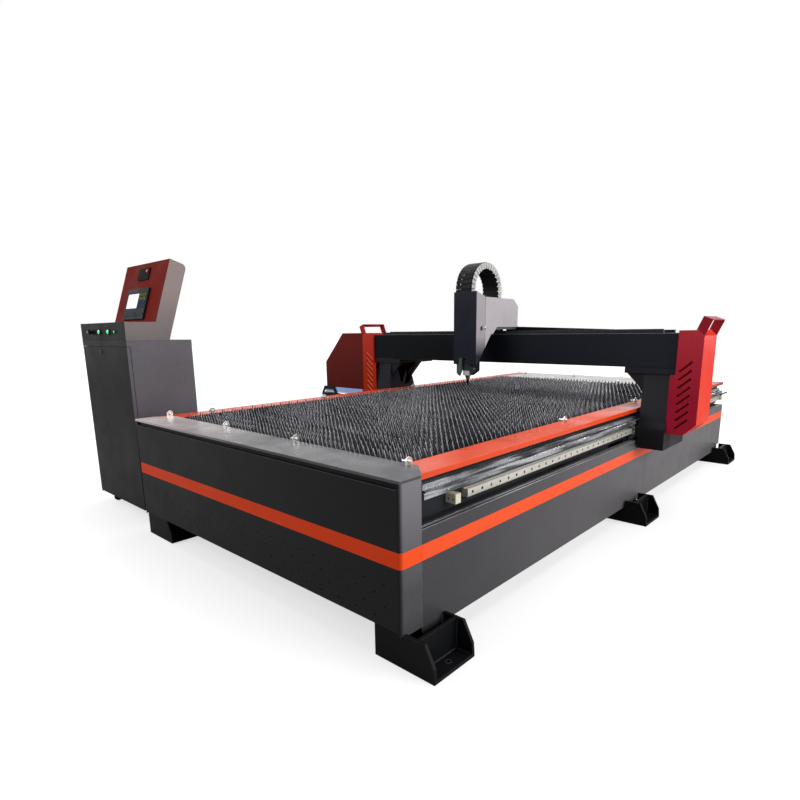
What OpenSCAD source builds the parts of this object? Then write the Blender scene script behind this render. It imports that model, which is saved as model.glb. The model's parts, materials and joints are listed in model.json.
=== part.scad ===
/* [Table] */
// Width of the table over its side panels
table_w = 1900; // [1500:10:2600]
// Length of the table over its end panels
table_l = 3860; // [3200:10:6600]
// Height of the top plates above the floor
table_h = 625; // [520:5:900]
// Thickness of the folded sheet panels
sheet_t = 3; // [1.5:0.5:5]
// Height of the lower edge of the side panels
skirt_z = 80; // [70:5:110]
// Height of the lower edge of the front and rear panels
end_skirt_z = 120; // [100:5:160]
// Length of the end panel's returns along the sides
return_l = 100; // [60:5:160]
// Outside radius of the end panel's vertical corners
corner_r = 15; // [6:1:30]
// Depth of the shadow gap between the front panel and the top plate
shadow_gap = 20; // [8:1:40]
// Thickness of the front top plate
plate_t = 10; // [4:1:16]
// Length of the front top plate along the table
front_plate_l = 185; // [150:5:260]
// Length of the rear top plate along the table
rear_plate_l = 580; // [250:10:800]
// Width of each side ledge
ledge_w = 127; // [115:1:180]
// Height of the ledge's folded lip
lip_h = 21; // [12:1:24]

/* [Frame] */
// Width of the side beams
beam_w = 80; // [60:5:120]
// Height of the side beams
beam_h = 160; // [150:5:200]
// Size of the square cross tubes
tube_s = 60; // [40:5:80]
// Wall of the frame's tubes
tube_t = 5; // [3:0.5:8]
// Length of the foot's base plate across the table
foot_w = 257; // [220:1:320]
// Length of the foot's base plate along the table
foot_l = 210; // [170:5:260]
// Thickness of the foot's plates
foot_t = 12; // [8:1:20]
// How far the right feet stand out past the side panel
foot_out = 130; // [110:5:180]
// How far the left feet stand in from the side panel
foot_in = 25; // [10:5:60]
// Radius of the anchor holes
anchor_r = 9; // [6:0.5:12]

/* [Cutting bed] */
// Distance between slats along the table
slat_pitch = 65; // [50:1:120]
// Thickness of a slat
slat_t = 3; // [2:0.5:6]
// Distance between the teeth of a slat
tooth_pitch = 27; // [18:1:60]
// Height of a slat's teeth
tooth_h = 38; // [15:1:45]
// How far the teeth stand above the top plates
tooth_rise = 23; // [5:1:40]

/* [Side drives] */
// Width of the linear rails
rail_w = 34; // [20:1:45]
// Height of the linear rails
rail_h = 28; // [18:1:38]
// Distance between the rails' screws
rail_screw = 60; // [40:5:105]
// Module of the side racks
rack_m = 2.5; // [2:0.25:3]
// Teeth of the side pinions
pinion_z = 14; // [14:1:16]
// Face width of the side racks
rack_w = 25; // [15:1:30]

/* [Gantry] */
// Width of a gantry leg
leg_w = 140; // [110:5:180]
// Height of the beam's underside above the top plates
gantry_rise = 225; // [180:5:400]
// Height of the gantry beam
cross_h = 183; // [140:1:260]
// Depth of the gantry beam
cross_d = 236; // [200:1:320]
// Outside width of a drive cover above the beam
cover_w = 122; // [100:1:180]
// Depth of a drive cover
cover_d = 237; // [200:1:300]
// Wall of the drive covers
cover_t = 2; // [1.5:0.5:4]
// Distance between louvres
louvre_pitch = 43; // [30:1:60]
// Width of the cable box beside the left cover
box_w = 466; // [300:1:600]

/* [Torch head] */
// Width of the head over its side plates
head_w = 174; // [160:1:240]
// Middle of the head, measured from the middle of the table
head_x = -64; // [-200:1:200]
// Depth of the head's front cover
nose_d = 95; // [85:1:140]
// Distance from the torch tip to the plates' level at rest
tip_rise = 87; // [70:1:140]
// Width of the looped cable chain
arch_w = 122; // [60:1:130]
// Outer radius of the looped cable chain
arch_r = 170; // [140:1:180]

/* [Console] */
// Width of the console
console_w = 665; // [520:1:900]
// Depth of the console
console_d = 366; // [300:1:500]
// Height of the console's cabinet
console_h = 1028; // [800:1:1200]
// Height of the switch band above the cabinet
band_h = 100; // [80:1:140]
// Width of the tilted screen housing
screen_w = 585; // [420:1:650]
// Length of the tilted screen housing
screen_l = 363; // [280:1:450]
// Thickness of the tilted screen housing
screen_t = 97; // [70:1:140]
// Lean of the screen housing from upright, in degrees
screen_lean = 18.5; // [10:0.5:30]
// Height of the casters under the console
caster_h = 72; // [66:1:120]
// Radius of the caster wheels
caster_r = 25; // [20:1:27]
// Gap between the console and the table's side panel
console_gap = 134; // [20:1:400]

/* [Hidden] */
$fn = 48;

seat = 0.3;                      // gap left between pieces that are bolted or welded together
half_w = table_w / 2;
front_y = -table_l / 2;
rear_y = table_l / 2;

// side beams, ledges and the drive slot between ledge and side panel
beam_out = half_w - 50;
beam_in = beam_out - beam_w;
beam_top = table_h - plate_t;
beam_z = beam_top - beam_h;
ledge_out = half_w - 11;
ledge_in = ledge_out - ledge_w;
panel_top = table_h - 180;
front_plate_y = front_y + front_plate_l;
rear_plate_y = rear_y - rear_plate_l;

// linear rail, rack and pinion on each side
rail_z = table_h - 128;
rail_y0 = front_y + 378;
rail_y1 = rear_y - 40;
rack_bar_t = 20;
rack_in = beam_out + rack_bar_t;
rack_out = rack_in + rack_w;
rack_tip = table_h - 63;
rack_body = 25;
pressure = 20;
backlash = 0.3;
rack_pitch = PI * rack_m;
rack_line = rack_tip - 0.8 * rack_m;
pinion_r = rack_m * pinion_z / 2;
pinion_cz = rack_line + pinion_r;
pinion_cy = 110;
shaft_r = 9;

// gantry: legs stand outside the side panels, the beam lies on their flanges
leg_in = half_w + 10;
leg_out = leg_in + leg_w;
leg_z = table_h - 217;
flange_t = 33;
cross_z = table_h + gantry_rise;
cross_top = cross_z + cross_h;
cross_y = 28;
cross_end = leg_out + 26;
flange_z = cross_z - flange_t;
leg_l = 350;
flange_l = 386;
block_w = 64;
block_l = 90;
block_out = beam_out + 45;
block_y = [20, leg_l - 20 - block_l];
cover_y = 13;
cover_out = cross_end + cover_w;
cover_z = table_h - 124;
cover_top = cross_top + 14;
foot_chamfer = 60;
top_bevel = 28;
box_out = cover_out + box_w;
box_z = cover_z + 94;
channel_h = 47;

// carriage rails and rack on the beam
x_rail_w = 20;
x_rail_h = 17;
x_rail_y = [cross_y + 22, cross_y + cross_d - 22];
x_rail_end = half_w + 90;
x_rack_m = 2.5;
x_pinion_z = 16;
x_pinion_r = x_rack_m * x_pinion_z / 2;
x_rack_y = cross_y + 72;
x_rack_d = 20;
x_rack_h = 22;
x_rack_line = x_rack_y + x_rack_d - 0.8 * x_rack_m;
x_pinion_y = x_rack_line + x_pinion_r;
plate_z = cross_top + 30;
carriage_t = 15;

// head over the beam and torch in front of it
head_x0 = head_x - head_w / 2;
head_x1 = head_x + head_w / 2;
head_t = 2.5;
nose_y = -220;
seam_y = nose_y + nose_d;
head_rear = cross_y + cross_d;
head_top = cross_top + 231;
nose_top = head_top + 31;
nose_z = cross_z + 1;
torch_y = nose_y + 45;
torch_x = head_x - 6;
tip_z = table_h + tip_rise;
mast_t = 12;
lift_y = seam_y - 22;

// cable chains: lower run in a tray, bend, upper run to the moving end
x_link_h = 34;
x_link_w = 62;
x_bend_r = 42;
x_tray_y = head_rear + 8;
x_tray_z = cross_z + 86;
x_run_z = x_tray_z + 2 + x_link_h / 2;
x_bend_x = 660;
x_rise = 26;
y_link_h = 40;
y_link_w = 80;
y_bend_r = 75;
y_tray_x = -cover_out - 160;
y_tray_z = table_h - 297;
y_run_z = y_tray_z + 2 + y_link_h / 2;
y_bend_y = 1000;
chain_gap = 4;
arch_t = 43;

// console on its own casters beside the front left corner of the table
con_x1 = -half_w - console_gap;
con_x0 = con_x1 - console_w;
con_y0 = front_y + 51.5;
con_y1 = con_y0 + console_d;
con_z = caster_h;
con_t = 2;
door_t = 18;
door_top = console_h - 34;
band_top = console_h + band_h;
screen_y = con_y0 + 169;
caster_x = [con_x0 + 65, con_x1 - 65];
caster_y = [con_y0 + 55, con_y1 - 70];
caster_trail = 18;
switch_z = console_h + 0.49 * band_h;

// ---------------------------------------------------------------- helpers

// box between two corners
module span(a, b) {
    translate(a) cube(b - a);
}

// an outline in Y and Z, extruded along X
module along_x(x0, x1) {
    translate([x0, 0, 0]) rotate([90, 0, 90]) linear_extrude(x1 - x0) children();
}

// an outline in X and Z, extruded along Y
module along_y(y0, y1) {
    translate([0, y1, 0]) rotate([90, 0, 0]) linear_extrude(y1 - y0) children();
}

// an outline in X and Y, extruded along Z
module along_z(z0, z1) {
    translate([0, 0, z0]) linear_extrude(z1 - z0) children();
}

module both_sides() {
    children();
    mirror([1, 0, 0]) children();
}

// square tube between two corners; axis 0, 1 or 2 is the open direction
module tube(a, b, axis, wall) {
    open = [for (i = [0:2]) i == axis ? -1 : wall];
    difference() {
        span(a, b);
        span(a + open, b - open);
    }
}

// corner of an outline moved inwards by d, where the outline runs counter-clockwise
function unit(v) = v / norm(v);
function inset_corner(a, b, c, d) =
    let (u = unit(b - a), v = unit(c - b), n = [-u.y, u.x], m = [-v.y, v.x])
    b + d * (n + m) / (1 + n * m);
function inset(p, d) =
    [for (i = [0:len(p) - 1])
        inset_corner(p[(i + len(p) - 1) % len(p)], p[i], p[(i + 1) % len(p)], d)];
function arc(c, r, a0, a1, n) =
    [for (i = [0:n]) c + r * [cos(a0 + (a1 - a0) * i / n), sin(a0 + (a1 - a0) * i / n)]];

// involute gear outline with its first tooth half a pitch past the given direction
function roll_angle(r, base) = let (a = acos(min(1, base / r))) tan(a) * 180 / PI - a;
function tooth_side(m, z, r) =
    let (pr = m * z / 2, base = pr * cos(pressure))
    90 / z - backlash / pr * 45 / PI + roll_angle(pr, base) - roll_angle(max(r, base), base);
function gear_outline(m, z, toward) =
    let (pr = m * z / 2, base = pr * cos(pressure), root = pr - 1.05 * m, tip = pr + 0.9 * m,
         steps = [root, base, base + (tip - base) / 3, base + 2 * (tip - base) / 3, tip])
    [for (i = [0:z - 1]) let (mid = toward + (i + 0.5) * 360 / z) each concat(
        [for (r = steps) r * [cos(mid - tooth_side(m, z, r)), sin(mid - tooth_side(m, z, r))]],
        [for (k = [4:-1:0]) let (r = steps[k])
            r * [cos(mid + tooth_side(m, z, r)), sin(mid + tooth_side(m, z, r))]])];

// rack outline: teeth up along X, a tooth centred on `at`, pitch line at zero height
function rack_outline(m, x0, x1, at, depth) =
    let (p = PI * m, add = 0.8 * m, ded = 1.1 * m, w = p / 4 - backlash / 4, s = tan(pressure),
         first = ceil((x0 - at) / p + 0.5), last = floor((x1 - at) / p - 0.5))
    concat([[x0, add - depth], [x0, -ded]],
        [for (k = [first:last]) let (c = at + k * p) each
            [[c - w - ded * s, -ded], [c - w + add * s, add],
             [c + w - add * s, add], [c + w + ded * s, -ded]]],
        [[x1, -ded], [x1, add - depth]]);

// ---------------------------------------------------------------- table

post_y = [front_y + 110, 0, rear_y - 110];
cross_ys = [front_y + 230, front_y / 2, 0, rear_y / 2, rear_y - 230];
base_z = 150;

module table_frame() color("#26282b") {
    both_sides() {
        tube([beam_in, front_y + 20, beam_z], [beam_out, rear_y - 5, beam_top - seat], 1, tube_t);
        for (y = post_y)
            tube([beam_in, y - beam_w / 2, foot_t + seat],
                 [beam_out, y + beam_w / 2, beam_z - seat], 2, tube_t);
        for (i = [0:1])
            tube([beam_in + 10, post_y[i] + beam_w / 2 + seat, base_z],
                 [beam_in + 10 + tube_s, post_y[i + 1] - beam_w / 2 - seat, base_z + tube_s],
                 1, tube_t);
    }
    // carriers under the front and rear top plates
    for (y = [front_y + 60, rear_plate_y + 60, rear_y - 120])
        tube([-beam_in + seat, y - tube_s / 2, beam_top - tube_s / 2 - seat],
             [beam_in - seat, y + tube_s / 2, beam_top - seat], 0, tube_t);
    for (y = cross_ys)
        tube([-beam_in + seat, y - tube_s / 2, beam_z + 5],
             [beam_in - seat, y + tube_s / 2, beam_z + 5 + tube_s], 0, tube_t);
    for (y = post_y)
        tube([-beam_in + seat, y - tube_s / 2, base_z],
             [beam_in - seat, y + tube_s / 2, base_z + tube_s], 0, tube_t);
    for (y = [front_y, rear_y] / 2)
        tube([-beam_in - 10 + seat, y - tube_s / 2, base_z],
             [beam_in + 10 - seat, y + tube_s / 2, base_z + tube_s], 0, tube_t);
}

// one foot: base plate, upright web and two gussets, which straddle the skirt where it crosses them
anchor_x = half_w - 80;
anchor_in = 67;
module foot(x0, y, hole_y, slots) {
    x1 = x0 + foot_w;
    ear = 122;
    difference() {
        translate([0, y, 0]) {
            span([x0, -foot_l / 2, 0], [x1, foot_l / 2, foot_t]);
            span([x1 - 80, -foot_l / 2 + foot_t, foot_t], [x1 - 67, foot_l / 2 - foot_t, ear]);
            for (i = [0, 1])
                gusset(i == 0 ? -foot_l / 2 : foot_l / 2 - foot_t, x0, x1, ear, slots[i]);
        }
        for (side = [-1, 1])
            translate([side * anchor_x, hole_y, -1]) cylinder(h = foot_t + 2, r = anchor_r);
    }
}

module gusset(y, x0, x1, ear, slot_z) {
    along_y(y, y + foot_t) difference() {
        polygon([[x0, foot_t], [x1, foot_t], [x1 - 3, 51], [x1 - 40, ear], [x0, ear]]);
        translate([half_w - 12, slot_z]) square([18, ear]);
    }
}

// the left feet stand wholly under the table, so that the console can stand close to it
module feet() color("#17181a") for (x0 = [half_w + foot_out - foot_w, -half_w + foot_in]) {
    cap_slot = end_skirt_z - 16;
    side_slot = skirt_z - 3;
    foot(x0, post_y[0], post_y[0] - anchor_in, [cap_slot, side_slot]);
    foot(x0, post_y[1], post_y[1] - anchor_in, [side_slot, side_slot]);
    foot(x0, post_y[2], post_y[2] + anchor_in, [side_slot, side_slot]);
}

vent_pitch = 90;
vent_row = 40;
module end_cap() color("#2b2c2f") {
    cap_top = table_h - plate_t - seat;
    side_z = end_skirt_z - 13;
    out = concat([[half_w, front_y + return_l]], [[-half_w, front_y + return_l]],
                 arc([-half_w + corner_r, front_y + corner_r], corner_r, 180, 270, 6),
                 arc([half_w - corner_r, front_y + corner_r], corner_r, 270, 360, 6));
    in = concat([[half_w - sheet_t, front_y + return_l + 1]],
                [[-half_w + sheet_t, front_y + return_l + 1]],
                arc([-half_w + corner_r, front_y + corner_r], corner_r - sheet_t, 180, 270, 6),
                arc([half_w - corner_r, front_y + corner_r], corner_r - sheet_t, 270, 360, 6));
    difference() {
        along_z(side_z, cap_top) difference() {
            polygon(out);
            polygon(in);
        }
        span([-half_w + corner_r, front_y - 1, cap_top - shadow_gap],
             [half_w - corner_r, front_y + corner_r, cap_top + 1]);
        span([-half_w + corner_r, front_y - 1, side_z - 1],
             [half_w - corner_r, front_y + corner_r, end_skirt_z]);
        for (row = [0:3], x = [-half_w + 250 : vent_pitch : half_w - 60])
            translate([x + (row % 2) * vent_pitch / 2, front_y - 1, end_skirt_z + 30 + row * vent_row])
                rotate([-90, 0, 0]) cylinder(h = sheet_t + 2, r = 4);
    }
    // dark bar set back behind the shadow gap
    span([-half_w + corner_r + 5, front_y + 12, cap_top - shadow_gap - 6],
         [half_w - corner_r - 5, front_y + 19, cap_top]);
}

module rear_panel() color("#2b2c2f") {
    difference() {
        span([-half_w, rear_y - sheet_t, end_skirt_z], [half_w, rear_y, panel_top]);
        for (side = [-1, 1])
            translate([side * table_w / 4, rear_y - sheet_t - 1, 260])
                rotate([-90, 0, 0]) cylinder(h = sheet_t + 2, r = 35);
    }
}

panel_seam = 190;
module side_panels() color("#55575a") both_sides() {
    flange = 38;
    rear_cut = 115;
    for (i = [0, 1]) {
        y0 = i == 0 ? front_y + return_l + seat : panel_seam + 1;
        y1 = i == 0 ? panel_seam - 1 : rear_y - sheet_t - seat;
        difference() {
            union() {
                span([half_w - sheet_t, y0, skirt_z], [half_w, y1, panel_top]);
                span([half_w - flange, y0, panel_top - sheet_t], [half_w, y1, panel_top]);
                span([half_w - flange, y0, panel_top - 14],
                     [half_w - flange + sheet_t, y1, panel_top]);
            }
            if (i == 1)
                along_x(half_w - 30, half_w + 1)
                    polygon([[rear_y - rear_cut, skirt_z - 1], [rear_y + 1, skirt_z - 1],
                             [rear_y + 1, skirt_z + 50], [rear_y - rear_cut, skirt_z + 35]]);
            // shallow bead pressed along the flange
            span([half_w - 24, y0 - 1, panel_top - 1], [half_w - 18, y1 + 1, panel_top + 1]);
        }
    }
}

module top_plates() color("#8d9094") {
    span([-half_w, front_y, table_h - plate_t], [half_w, front_plate_y, table_h]);
    span([-ledge_in + seat, rear_plate_y, table_h - plate_t], [ledge_in - seat, rear_y, table_h]);
}

// folded strip: its inner lip stands on the side beam, its outer lip hangs over the drive slot
module ledges() color("#f0562a") both_sides() {
    foot = beam_in + 2;
    under = table_h - sheet_t;
    along_y(front_plate_y + seat, rear_y) {
        polygon([[ledge_in, under], [foot, under], [foot, beam_top], [foot + sheet_t, beam_top],
                 [foot + sheet_t, under], [ledge_out - sheet_t, under],
                 [ledge_out - sheet_t, table_h - lip_h], [ledge_out, table_h - lip_h],
                 [ledge_out, table_h], [ledge_in, table_h]]);
    }
}

// half-round stop ear standing on a plate, with the screw that clamps a sheet against it
module sheet_stop(x, y) {
    ear_r = 17;
    ear_t = 6;
    axis = 11;
    translate([x, y, table_h + seat]) {
        difference() {
            along_x(0, ear_t) difference() {
                union() {
                    translate([0, axis]) circle(r = ear_r);
                    translate([-ear_r, 0]) square([2 * ear_r, axis]);
                }
                translate([-50, -50]) square([100, 50]);
            }
            translate([-1, 0, axis]) rotate([0, 90, 0]) cylinder(h = ear_t + 2, r = 4.2);
        }
        translate([-26, 0, axis]) rotate([0, 90, 0]) cylinder(h = 42, r = 4);
        translate([ear_t + 0.2, 0, axis]) rotate([0, 90, 0]) cylinder(h = 6, r = 7.5, $fn = 6);
        translate([-8, 0, axis]) rotate([0, 90, 0]) cylinder(h = 7.8, r = 7.5, $fn = 6);
    }
}

module sheet_stops() color("#c9ccce") {
    for (x = [-0.97, -0.35, 0.22, 0.873]) sheet_stop(x * half_w, front_plate_y - 12);
    for (y = [-0.336, 0.137]) sheet_stop(ledge_in + 28, y * table_l / 2);
    for (y = [-0.803, -0.383, 0.083]) sheet_stop(-ledge_in - 28, y * table_l / 2);
    for (x = [-0.28, 0.32]) sheet_stop(x * half_w, rear_plate_y + 34);
    for (x = [-0.8, -0.27]) sheet_stop(x * half_w, rear_y - 180);
}

// ---------------------------------------------------------------- cutting bed

slat_end = ledge_in - 10;
slat_n = floor((rear_plate_y - front_plate_y - 40) / slat_pitch);
slat_y0 = front_plate_y + 30;
slat_foot = table_h - 73;
tip_top = table_h + tooth_rise;

module slats() color("#5b5c60") {
    teeth = floor(2 * slat_end / tooth_pitch);
    edge = teeth * tooth_pitch / 2;
    outline = concat([[-edge, slat_foot], [edge, slat_foot], [edge, tip_top - tooth_h]],
        [for (i = [teeth - 1:-1:0]) each
            [[-edge + (i + 0.5) * tooth_pitch, tip_top],
             [-edge + i * tooth_pitch, tip_top - tooth_h]]]);
    for (i = [0:slat_n])
        along_y(slat_y0 + i * slat_pitch - slat_t / 2, slat_y0 + i * slat_pitch + slat_t / 2)
            polygon(outline);
}

module slat_holders() color("#303134") {
    comb_t = 6;
    comb_z = beam_z + 5 + tube_s + seat;
    comb_top = slat_foot + 30;
    for (x = [-slat_end + 25, 0, slat_end - 25])
        along_x(x - comb_t / 2, x + comb_t / 2) difference() {
            translate([front_plate_y + 5, comb_z])
                square([rear_plate_y - front_plate_y - 10, comb_top - comb_z]);
            for (i = [0:slat_n])
                translate([slat_y0 + i * slat_pitch - slat_t / 2 - seat, slat_foot - seat])
                    square([slat_t + 2 * seat, comb_top]);
        }
}

module slag_sheets() color("#3a3b3d") {
    z = base_z + tube_s + seat;
    for (i = [0:3]) {
        y0 = i == 0 ? post_y[0] + 50 : (i - 2) * table_l / 4 + 2;
        y1 = i == 3 ? post_y[2] - 50 : (i - 1) * table_l / 4 - 2;
        span([-beam_in + 30, y0, z], [beam_in - 30, y1, z + 2]);
    }
}

// ---------------------------------------------------------------- side drives

module y_rails() color("#b9bcc0") both_sides() {
    groove = 5;
    difference() {
        along_y(rail_y0, rail_y1)
            polygon([[beam_out + seat, rail_z - rail_w / 2], [beam_out + 9, rail_z - rail_w / 2],
                     [beam_out + 9 + groove, rail_z - rail_w / 2 + groove],
                     [beam_out + rail_h - 4, rail_z - rail_w / 2],
                     [beam_out + rail_h, rail_z - rail_w / 2 + 4],
                     [beam_out + rail_h, rail_z + rail_w / 2 - 4],
                     [beam_out + rail_h - 4, rail_z + rail_w / 2],
                     [beam_out + 9 + groove, rail_z + rail_w / 2 - groove],
                     [beam_out + 9, rail_z + rail_w / 2], [beam_out + seat, rail_z + rail_w / 2]]);
        for (y = [rail_y0 + 30 : rail_screw : rail_y1 - 10])
            translate([beam_out + rail_h - 9, y, rail_z]) rotate([0, 90, 0]) cylinder(h = 12, r = 6);
    }
}

// racks come in lengths that meet in the middle of a tooth space
rack_y0 = front_y + 115;
rack_y1 = rear_y - 20;
rack_lengths = 4;
module y_racks() color("#a9a7a0") both_sides() {
    first = ceil((rack_y0 - pinion_cy) / rack_pitch);
    last = floor((rack_y1 - pinion_cy) / rack_pitch);
    step = floor((last - first) / rack_lengths);
    for (i = [0:rack_lengths - 1]) {
        a = pinion_cy + (first + i * step + 0.5) * rack_pitch;
        b = pinion_cy + (i == rack_lengths - 1 ? last - 0.5 : first + (i + 1) * step + 0.5) * rack_pitch;
        translate([0, 0, rack_line]) along_x(rack_in + seat, rack_out)
            polygon(rack_outline(rack_m, a + seat / 2, b - seat / 2, pinion_cy, rack_body));
    }
    span([beam_out + seat, rack_y0 + 25, rack_tip - rack_body - 3], [rack_in, rack_y1, rack_tip + 16]);
}

module end_stops() color("#d6cfb6") both_sides() {
    for (y = [rail_y0 - 93, rail_y1 + 4]) difference() {
        span([beam_out + seat, y, rail_z - 15], [half_w - 6, y + 30, rail_z + 20]);
        for (x = [12, 32])
            translate([beam_out + x, y - 1, rail_z]) rotate([-90, 0, 0]) cylinder(h = 32, r = 4);
    }
    // black adjusting rod at the rear of each rail
    translate([half_w - 12, rear_y - 45, rail_z + 30]) rotate([-90, 0, 0]) cylinder(h = 200, r = 6);
    span([beam_out + seat, rear_y - 33, rail_z + 24], [half_w - 6, rear_y - 8, rail_z + 24 + 9]);
}

module chain_tray_y(x0, x1, y0, y1, z) {
    span([x0, y0, z], [x1, y1, z + 2]);
    span([x0, y0, z], [x0 + 2, y1, z + 46]);
    span([x1 - 2, y0, z], [x1, y1, z + 46]);
}

module y_chain_tray() color("#3c3e42") {
    x0 = y_tray_x - y_link_w - 16;
    x1 = y_tray_x;
    y1 = min(rear_y - 20, y_bend_y + 900);
    chain_tray_y(x0, x1, -60, y1, y_tray_z);
    for (y = [0 : 440 : y1 - 60])
        span([x0, y, y_tray_z - 40], [-half_w - seat, y + 40, y_tray_z - seat]);
    span([x0 + 8, -40, y_tray_z + 2 + seat],
         [x1 - 8, y_bend_y - chain_gap, y_tray_z + 2 + y_link_h]);
}

// ---------------------------------------------------------------- console

front_wall_y = con_y0 + door_t + 0.8;
pin_r = 2.5;
hinge_x = con_x0 + 5;
hinge_y = con_y0 + 4;
door_lap = 14;
module console_cabinet() color("#3a3b3d") {
    difference() {
        union() {
            span([con_x0, front_wall_y, con_z], [con_x1, con_y1, console_h]);
            span([con_x0, con_y0, door_top + 2], [con_x1, front_wall_y + 1, console_h]);
            span([con_x0, con_y0, con_z - con_t], [con_x0 + door_lap, front_wall_y + 1, con_z]);
            span([con_x0, front_wall_y, con_z - con_t], [con_x0 + door_lap, front_wall_y + 8, con_z + 1]);
        }
        span([con_x0 + con_t, front_wall_y + con_t, con_z + con_t],
             [con_x1 - con_t, con_y1 - con_t, console_h - con_t]);
        span([con_x0 + con_t, con_y0 + con_t, door_top + 2 + con_t],
             [con_x1 - con_t, front_wall_y + con_t + 1, console_h - con_t]);
        span([con_x0 + door_lap, front_wall_y - 1, con_z + door_lap],
             [con_x1 - door_lap, front_wall_y + con_t + 1, door_top - door_lap]);
        for (i = [0:5])
            span([con_x0 - 1, con_y0 + 110 + i * 24, 250], [con_x0 + 5, con_y0 + 118 + i * 24, 330]);
        // seats of the door's pivot pins
        translate([hinge_x, hinge_y, door_top + 1]) cylinder(h = con_t + 1.5, r = pin_r + 0.05);
        translate([hinge_x, hinge_y, con_z - con_t - 1]) cylinder(h = con_t + 2, r = pin_r + 0.05);
    }
    // caster mounting plates
    for (x = caster_x, y = caster_y)
        span([x - 32, y - 32, con_z - 4], [x + 32, y + 32, con_z]);
}

// corners of the tilted housing: front foot, front top, rounded rear top, rear foot
screen_dir = [sin(screen_lean), cos(screen_lean)];
screen_back = [cos(screen_lean), -sin(screen_lean)];
screen_foot = [screen_y, band_top];
screen_peak = screen_foot + screen_l * screen_dir;
screen_round = 25;
function screen_side(shell) =
    let (c = screen_peak + (screen_t - screen_round) * screen_back - screen_round * screen_dir,
         back_foot = screen_foot + screen_t * screen_back,
         sink = (back_foot.y - console_h) / screen_dir.y)
    inset(concat([screen_peak], arc(c, screen_round, 90 - screen_lean, -screen_lean, 5),
        [back_foot - sink * screen_dir,
         [screen_foot.x, console_h], screen_foot])
        , -shell);

module console_head() color("#3f3e40") {
    rear_x = (screen_foot + screen_t * screen_back).x
        - ((screen_foot + screen_t * screen_back).y - console_h) * tan(screen_lean);
    z0 = console_h + seat;
    difference() {
        union() {
            span([con_x0, con_y0, z0], [con_x1, rear_x, band_top]);
            along_x(con_x1 - screen_w, con_x1) polygon(screen_side(0));
        }
        span([con_x0 + con_t, con_y0 + con_t, z0 - 1], [con_x1 - con_t, rear_x - con_t, band_top - con_t]);
        along_x(con_x1 - screen_w + con_t, con_x1 - con_t) polygon(screen_side(con_t));
        span([con_x0 - 1, con_y0 - 1, console_h - 5], [con_x1 + 1, con_y1, z0]);
        for (i = [0:3])
            translate([switch_x[i], con_y0 - 1, switch_z]) rotate([-90, 0, 0])
                cylinder(h = 5, r = i == 3 ? lamp_r + 0.2 : 11.2);
    }
}

// puts children on the tilted face: X as the row's, Y up the face from its foot, Z out of it
module on_face() {
    translate([0, screen_y, band_top]) rotate([90 - screen_lean, 0, 0]) children();
}

switch_x = [con_x0 + 193, con_x0 + 304, con_x0 + 440, con_x0 + 526.5];
lamp_r = 7;
panel_x = con_x0 + 219;
panel_w = 286;
panel_h = 186;
panel_y = 18;
// flat controller: screen in a recess, a block of keys beside it and a row of keys below
module controller() color("#1c1d1f") on_face() translate([panel_x, panel_y, seat]) {
    thick = 12;
    difference() {
        cube([panel_w, panel_h, thick]);
        translate([18, 66, thick - 2]) cube([152, 90, 3]);
    }
    for (i = [0:3], j = [0:3]) translate([186 + i * 23, 68 + j * 23, thick]) cube([17, 17, 1.5]);
    for (i = [0:5]) translate([20 + i * 25, 20, thick]) cube([19, 24, 1.5]);
    for (i = [0:3]) translate([186 + i * 23, 22, thick]) cube([17, 17, 1.5]);
}

module display_window() color("#101113") on_face()
    translate([con_x0 + 298, 258, seat]) cube([145, 72, 6]);

module collar(x, r, inner) {
    translate([x, con_y0 - seat, switch_z]) rotate([90, 0, 0]) difference() {
        cylinder(h = 5, r1 = r, r2 = r - 1.5);
        translate([0, 0, -1]) cylinder(h = 8, r = inner);
    }
    translate([x, con_y0 + con_t + seat, switch_z]) rotate([-90, 0, 0]) difference() {
        cylinder(h = 6, r = r - 1);
        translate([0, 0, -1]) cylinder(h = 8, r = inner);
    }
}

module switch_collars() color("#202224") {
    for (i = [0:2]) collar(switch_x[i], 17, 10.8);
    // small signal lamp
    translate([switch_x[3], con_y0 + 10, switch_z]) rotate([90, 0, 0]) cylinder(h = 15, r = lamp_r);
}

// round actuator of a switch: shaft through the panel and a cap in front
module actuator(x, cap) {
    translate([x, con_y0 + 30, switch_z]) rotate([90, 0, 0]) cylinder(h = 30 + cap, r = 10.5);
}

module key_switch() color("#1d1e20") {
    actuator(switch_x[0], 12);
    span([switch_x[0] - 3, con_y0 - 26, switch_z - 13], [switch_x[0] + 3, con_y0 - 12, switch_z + 13]);
}

module start_button() color("#2fbf62") actuator(switch_x[1], 9);

module stop_button() color("#2fbf62") actuator(switch_x[2], 9);

module console_door() color("#34363a") {
    x0 = con_x0 + 1.5;
    x1 = con_x1 - 3;
    difference() {
        span([x0, con_y0, con_z + 3], [x1, con_y0 + door_t, door_top]);
        span([x0 + con_t, con_y0 + con_t, con_z + 3 + con_t],
             [x1 - con_t, con_y0 + door_t + 1, door_top - con_t]);
        translate([lock_x, con_y0 - 1, lock_z]) rotate([-90, 0, 0]) cylinder(h = 5, r = 8.05);
    }
    translate([hinge_x, hinge_y, door_top - 1]) cylinder(h = 2.8 + con_t, r = pin_r);
    translate([hinge_x, hinge_y, con_z - con_t + 0.2]) cylinder(h = con_t + 4, r = pin_r);
}

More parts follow.
